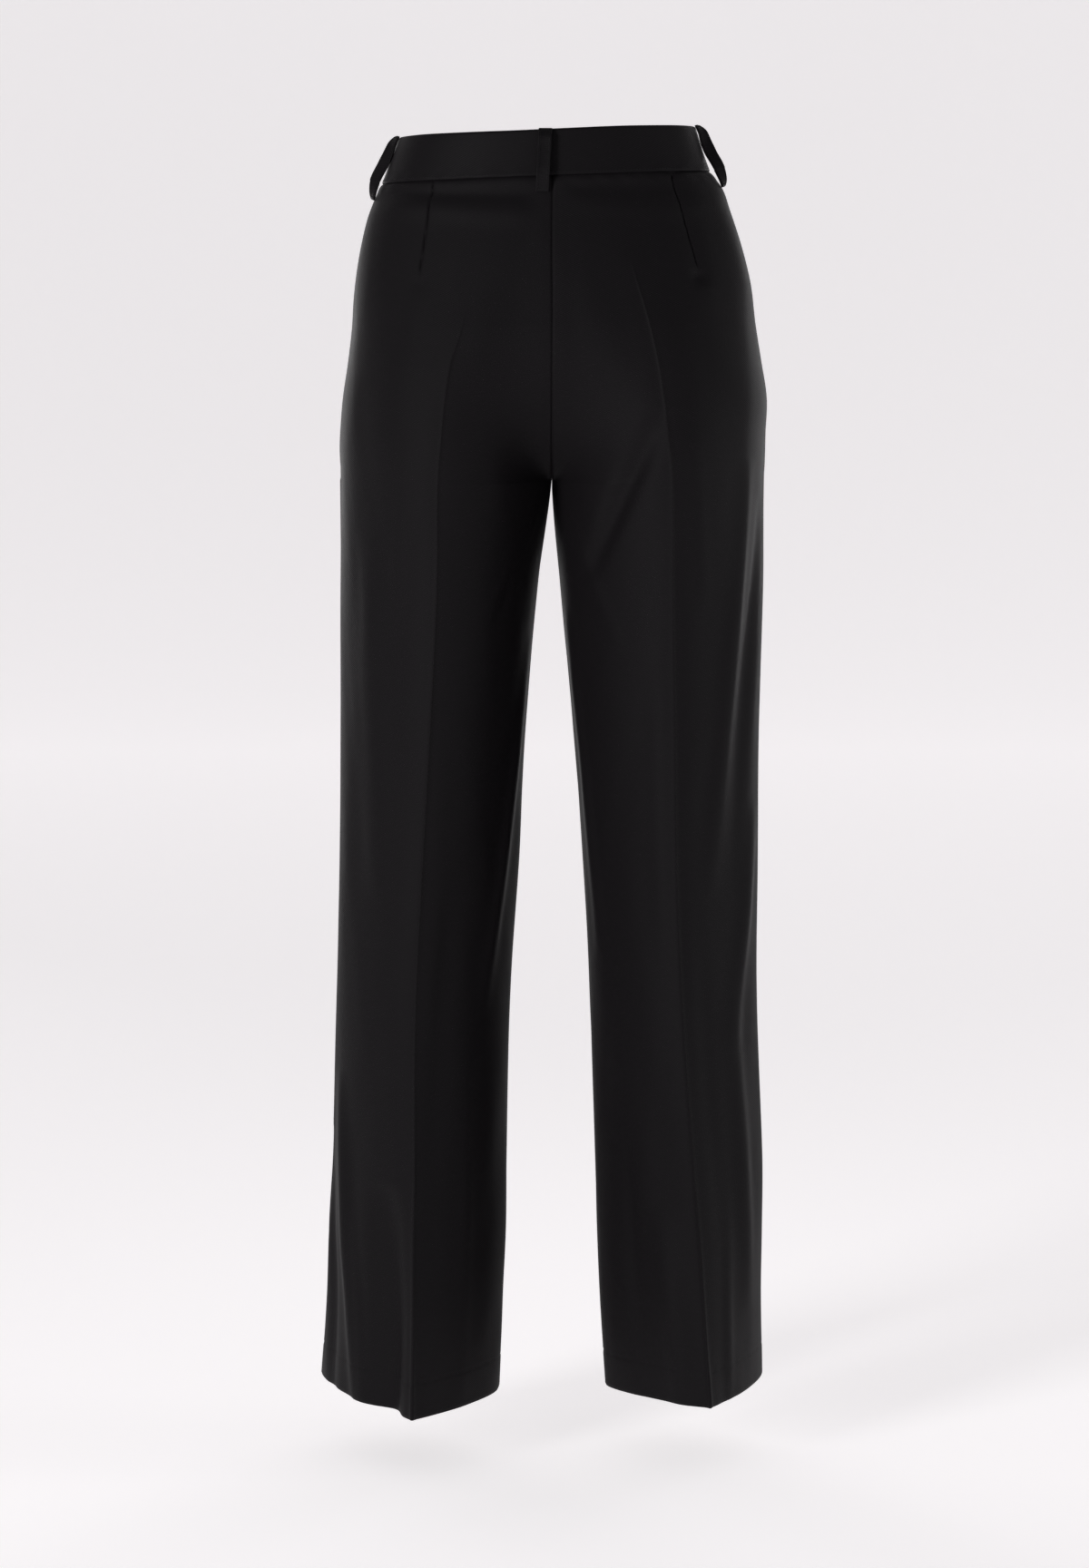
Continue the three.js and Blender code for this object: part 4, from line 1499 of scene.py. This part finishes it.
@dataclass
class Sewing:
    """Every row of stitches that shows."""

    panels: dict[str, Panel]
    band: Waistband
    loops: list[BeltLoop]
    mouth_inset: float = 6.0
    mouth_bars: tuple[float, float] = (0.06, 0.985)  # the bars' places down a pocket mouth
    fly_width: float = 34.0
    fly_end: float = -176.0
    fly_curve: float = 42.0
    slit_start: float = 18.0  # the buttonhole, from the button's middle
    slit_end: float = 4.0
    slit_side: float = 1.05
    shank: float = 1.9  # the button's pairs of holes, from its middle
    shank_lift: float = 1.25

    def pockets(self) -> Stitching:
        """Sews the pocket mouths: a row beside each edge and a bar at each end.

        Returns:
            The stitches.
        """
        sewing = Stitching("stitches_pockets", seed=11)
        for leg in LEGS:
            panel = self.panels[f"front_{leg.name}"]
            edge = panel.line(-0.8, PANEL_TOP, POCKET_BOTTOM)
            inner = panel.line(-self.mouth_inset, PANEL_TOP - 1, POCKET_BOTTOM)
            sewing.row(inner)
            down = (edge[-1] - edge[-4]) / np.linalg.norm(edge[-1] - edge[-4])
            for share in self.mouth_bars:
                k = int(share * (len(edge) - 1))
                sewing.bar(np.array([edge[k], inner[k]]), down, length=2.0, pitch=0.55)
        return sewing

    def fly(self) -> Stitching:
        """Sews the fly: down the shield's edge and round to the middle, with a bar where it ends.

        Returns:
            The stitches.
        """
        sewing = Stitching("stitches_fly", seed=13)
        panel = self.panels["front_right"]
        z = levels_of(panel.leg)
        turned = np.clip((self.fly_end + self.fly_curve - z) / self.fly_curve, 0, 1)
        inset = self.fly_width * np.sqrt(np.maximum(1 - turned**2, 0.0009))
        line = panel.line(inset, PANEL_TOP - 1, self.fly_end)
        sewing.row(line)
        ends = line[-1] + np.array([[2.5, 0, 1.5], [-3.0, 0, 3.0]])
        sewing.bar(ends, np.array([0.1, 0, 1.0]), length=2.2, pitch=0.55)
        return sewing

    def belt_loops(self) -> Stitching:
        """Sews both edges of each belt loop and a bar at each end.

        Returns:
            The stitches.
        """
        sewing = Stitching("stitches_loops", seed=17)
        for loop in self.loops:
            side = loop.sideways * (loop.width / 2 - loop.sewn_in)
            for edge in (loop.face + side, loop.face - side):
                sewing.row(edge[3:-3], pitch=2.2, length=1.7)
            for k in (2, -3):
                down = loop.face[k + 1] - loop.face[k - 1]
                bar = np.array([loop.face[k] - side[k] * 0.9, loop.face[k] + side[k] * 0.9])
                sewing.bar(bar, down / np.linalg.norm(down), length=1.8, pitch=0.55)
        return sewing

    def waist_seam(self) -> Stitching:
        """Sews the band down in the ditch of its seam.

        Returns:
            The stitches.
        """
        sewing = Stitching("stitches_waistband", seed=19)
        seam_row = self.band.face[-4]
        sewing.row(seam_row[8:], pitch=2.6, length=1.9)
        return sewing

    def hems(self) -> Stitching:
        """Sews the hems with the blind stitch's pricks, all that shows of it outside.

        Returns:
            The stitches.
        """
        sewing = Stitching("stitches_hems", thread_width=0.4, seed=23)
        for panel in self.panels.values():
            sewing.row(panel.across(panel.leg.hem + HEM_TURN_UP)[6:-6], pitch=6.5, length=0.9)
        return sewing

    def fastening(self, button: bpy.types.Object) -> Stitching:
        """Works the buttonhole and sews the button on.

        Args:
            button: The button.

        Returns:
            The stitches.
        """
        sewing = Stitching("stitches_button", thread_width=0.45, seed=29)
        corners = np.array([vertex.co for vertex in button.data.vertices]) / MM
        middle = (corners.min(axis=0) + corners.max(axis=0)) / 2
        row = int(np.argmin(np.abs(self.band.face[:, -5, 2] - middle[2])))
        lap = self.band.face[row, -60:]
        up = self.band.face[row - 1, -5] - self.band.face[row + 1, -5]
        up /= np.linalg.norm(up)
        beside = middle[0] - lap[:, 0]
        slit = lap[(beside < self.slit_start) & (beside > self.slit_end)]
        for side in (-1, 1):
            sewing.bar(slit + up * side * self.slit_side, up, length=1.8, pitch=0.45)
        sewing.bar(slit[:1] + up * np.array([[-2.0], [2.0]]), slit[1] - slit[0], length=1.4)
        outward = np.linalg.svd(corners - middle)[2][2]
        outward *= np.sign(-outward[1])
        along = np.cross(up, outward)
        for side in (-1, 1):
            line = middle + outward * self.shank_lift + up * side * self.shank
            for lift in (-0.35, 0.0, 0.35):
                path = line + up * lift + along * np.array([[-2.1], [2.1]])
                sewing.places.append(path.mean(axis=0, keepdims=True))
                sewing.runs.append(path[1:] - path[:1])
        return sewing

    def build(self, button: bpy.types.Object, thread: bpy.types.Material) -> None:
        """Sews everything.

        Args:
            button: The button.
            thread: The thread.
        """
        rows = (self.pockets(), self.fly(), self.belt_loops(), self.waist_seam(), self.hems())
        for sewing in (*rows, self.fastening(button)):
            sewing.build(thread)


def face(item: bpy.types.Object, heading: Vector) -> None:
    """Turns a lamp or camera to look along a heading."""
    item.rotation_euler = heading.to_track_quat("-Z", "Y").to_euler()


@dataclass(frozen=True)
class Lamp:
    """A soft square lamp that faces the garment. Its stand and its size are in metres."""

    name: str
    stand: tuple[float, float, float]
    size: float
    watts: float
    spread: float  # the angle that its louvres leave open, in degrees

    def build(self) -> None:
        """Sets the lamp up."""
        data = bpy.data.lights.new(self.name, "AREA")
        data.shape = "SQUARE"
        data.size = self.size
        data.energy = self.watts
        data.spread = math.radians(self.spread)
        item = add_object(self.name, data)
        item.location = self.stand
        face(item, Vector(LIT_PLACE) - Vector(self.stand))


@dataclass(frozen=True)
class Studio:
    """A pale sweep, soft light from both sides, and the camera where the photo was taken from."""

    distance: float = 4300.0
    height: float = -150.0
    aside: float = 6.2
    aim_height: float = -549.0
    lens_mm: float = 116.9
    surround: float = 0.21
    backdrop_glow: float = 0.55
    reach: float = 16.0  # the sweep's half width, its nearest edge and its wall's height, in metres
    bend_start: float = -7.0
    bend_radius: float = 4.0
    bend_steps: int = 16
    lamps: tuple[Lamp, ...] = (
        Lamp("key", (2.6, 3.4, 0.1), 1.1, 9.5, 50.0),
        Lamp("second", (-3.7, 0.3, -0.3), 1.3, 2.8, 50.0),
        Lamp("front_left", (1.9, -4.2, -0.2), 1.1, 2.3, 45.0),
        Lamp("front_right", (-2.2, -4.0, -0.1), 1.1, 1.6, 45.0),
    )

    def camera(self) -> None:
        """Sets the camera."""
        data = bpy.data.cameras.new("camera")
        data.lens = self.lens_mm
        data.sensor_width = 36.0
        data.clip_end = 60.0
        item = add_object("camera", data)
        item.location = Vector((self.aside, self.distance, self.height)) * MM
        pitch = math.atan((self.height - self.aim_height) / self.distance)
        face(item, Vector((0, -math.cos(pitch), -math.sin(pitch))))
        bpy.context.scene.camera = item

    def sweep(self) -> None:
        """Adds the floor, which curves up far behind and glows a little, as a lit backdrop does."""
        floor = FLOOR_Z * MM
        profile = [(self.reach, floor), (self.bend_start, floor)]
        for k in range(1, self.bend_steps + 1):
            turn = k / self.bend_steps * math.pi / 2
            depth = self.bend_start - self.bend_radius * math.sin(turn)
            profile.append((depth, floor + self.bend_radius * (1 - math.cos(turn))))
        profile.append((self.bend_start - self.bend_radius, floor + self.reach))
        vertices = np.array([[x, y, z] for y, z in profile for x in (-self.reach, self.reach)]) / MM
        faces = np.array([[2 * k, 2 * k + 1, 2 * k + 3, 2 * k + 2] for k in range(len(profile) - 1)])
        item = make_mesh("floor", vertices, faces[:, ::-1], None)
        paper = PlainFinish("matt_paper", "#f3f1f2", 0.95, 0.1, glow=self.backdrop_glow)
        item.data.materials.append(paper.build())
        log.info("floor set %.3f m below the waist", -floor)

    def world(self) -> None:
        """Gives an even pale light from all round."""
        world = bpy.data.worlds.new("studio")
        world.use_nodes = True
        background = world.node_tree.nodes["Background"]
        background.inputs["Color"].default_value = linear("#f6f5f8")
        background.inputs["Strength"].default_value = self.surround
        bpy.context.scene.world = world

    def build(self) -> None:
        """Sets the whole studio."""
        self.camera()
        self.world()
        self.sweep()
        for lamp in self.lamps:
            lamp.build()
        bpy.context.scene.view_settings.view_transform = "Standard"


def main() -> None:
    """Builds every piece in order."""
    logging.basicConfig(level=logging.INFO, format="%(name)s: %(message)s")
    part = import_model()
    finishes = Finishes()
    cloth = finishes.panel.build()
    band = finishes.band.build()
    wrong_side = finishes.wrong_side.build()
    panels = {}
    for leg in LEGS:
        back = Panel(leg, True, BACK_CUT)
        front = Panel(leg, False, FRONT_CUT)
        for panel in (back, front):
            panel.build(cloth)
            panels[panel.name] = panel
        PocketFacing(leg).build(cloth)
        HemTurnUp(leg, (front, back)).build(wrong_side)
    waistband = Waistband()
    waistband.build(band)
    loops = [BeltLoop("loop_back", LEFT_LEG, BACK_PLACE, slant=-2.5)]
    for leg in LEGS:
        side_loop = BeltLoop(f"loop_side_{leg.name}", leg, SIDE_PLACE, leg.loop_bulge)
        side_loop.twist = -leg.side * leg.loop_twist
        side_loop.stand_off = SIDE_STAND_OFF
        loops += [side_loop, BeltLoop(f"loop_front_{leg.name}", leg, FRONT_PLACE)]
    for loop in loops:
        loop.build(band)
    button = Button().build(part["nodes"]["button"], finishes.resin.build())
    Sewing(panels, waistband, loops).build(button, finishes.thread.build())
    Studio().build()


if __name__ == "__main__":
    main()
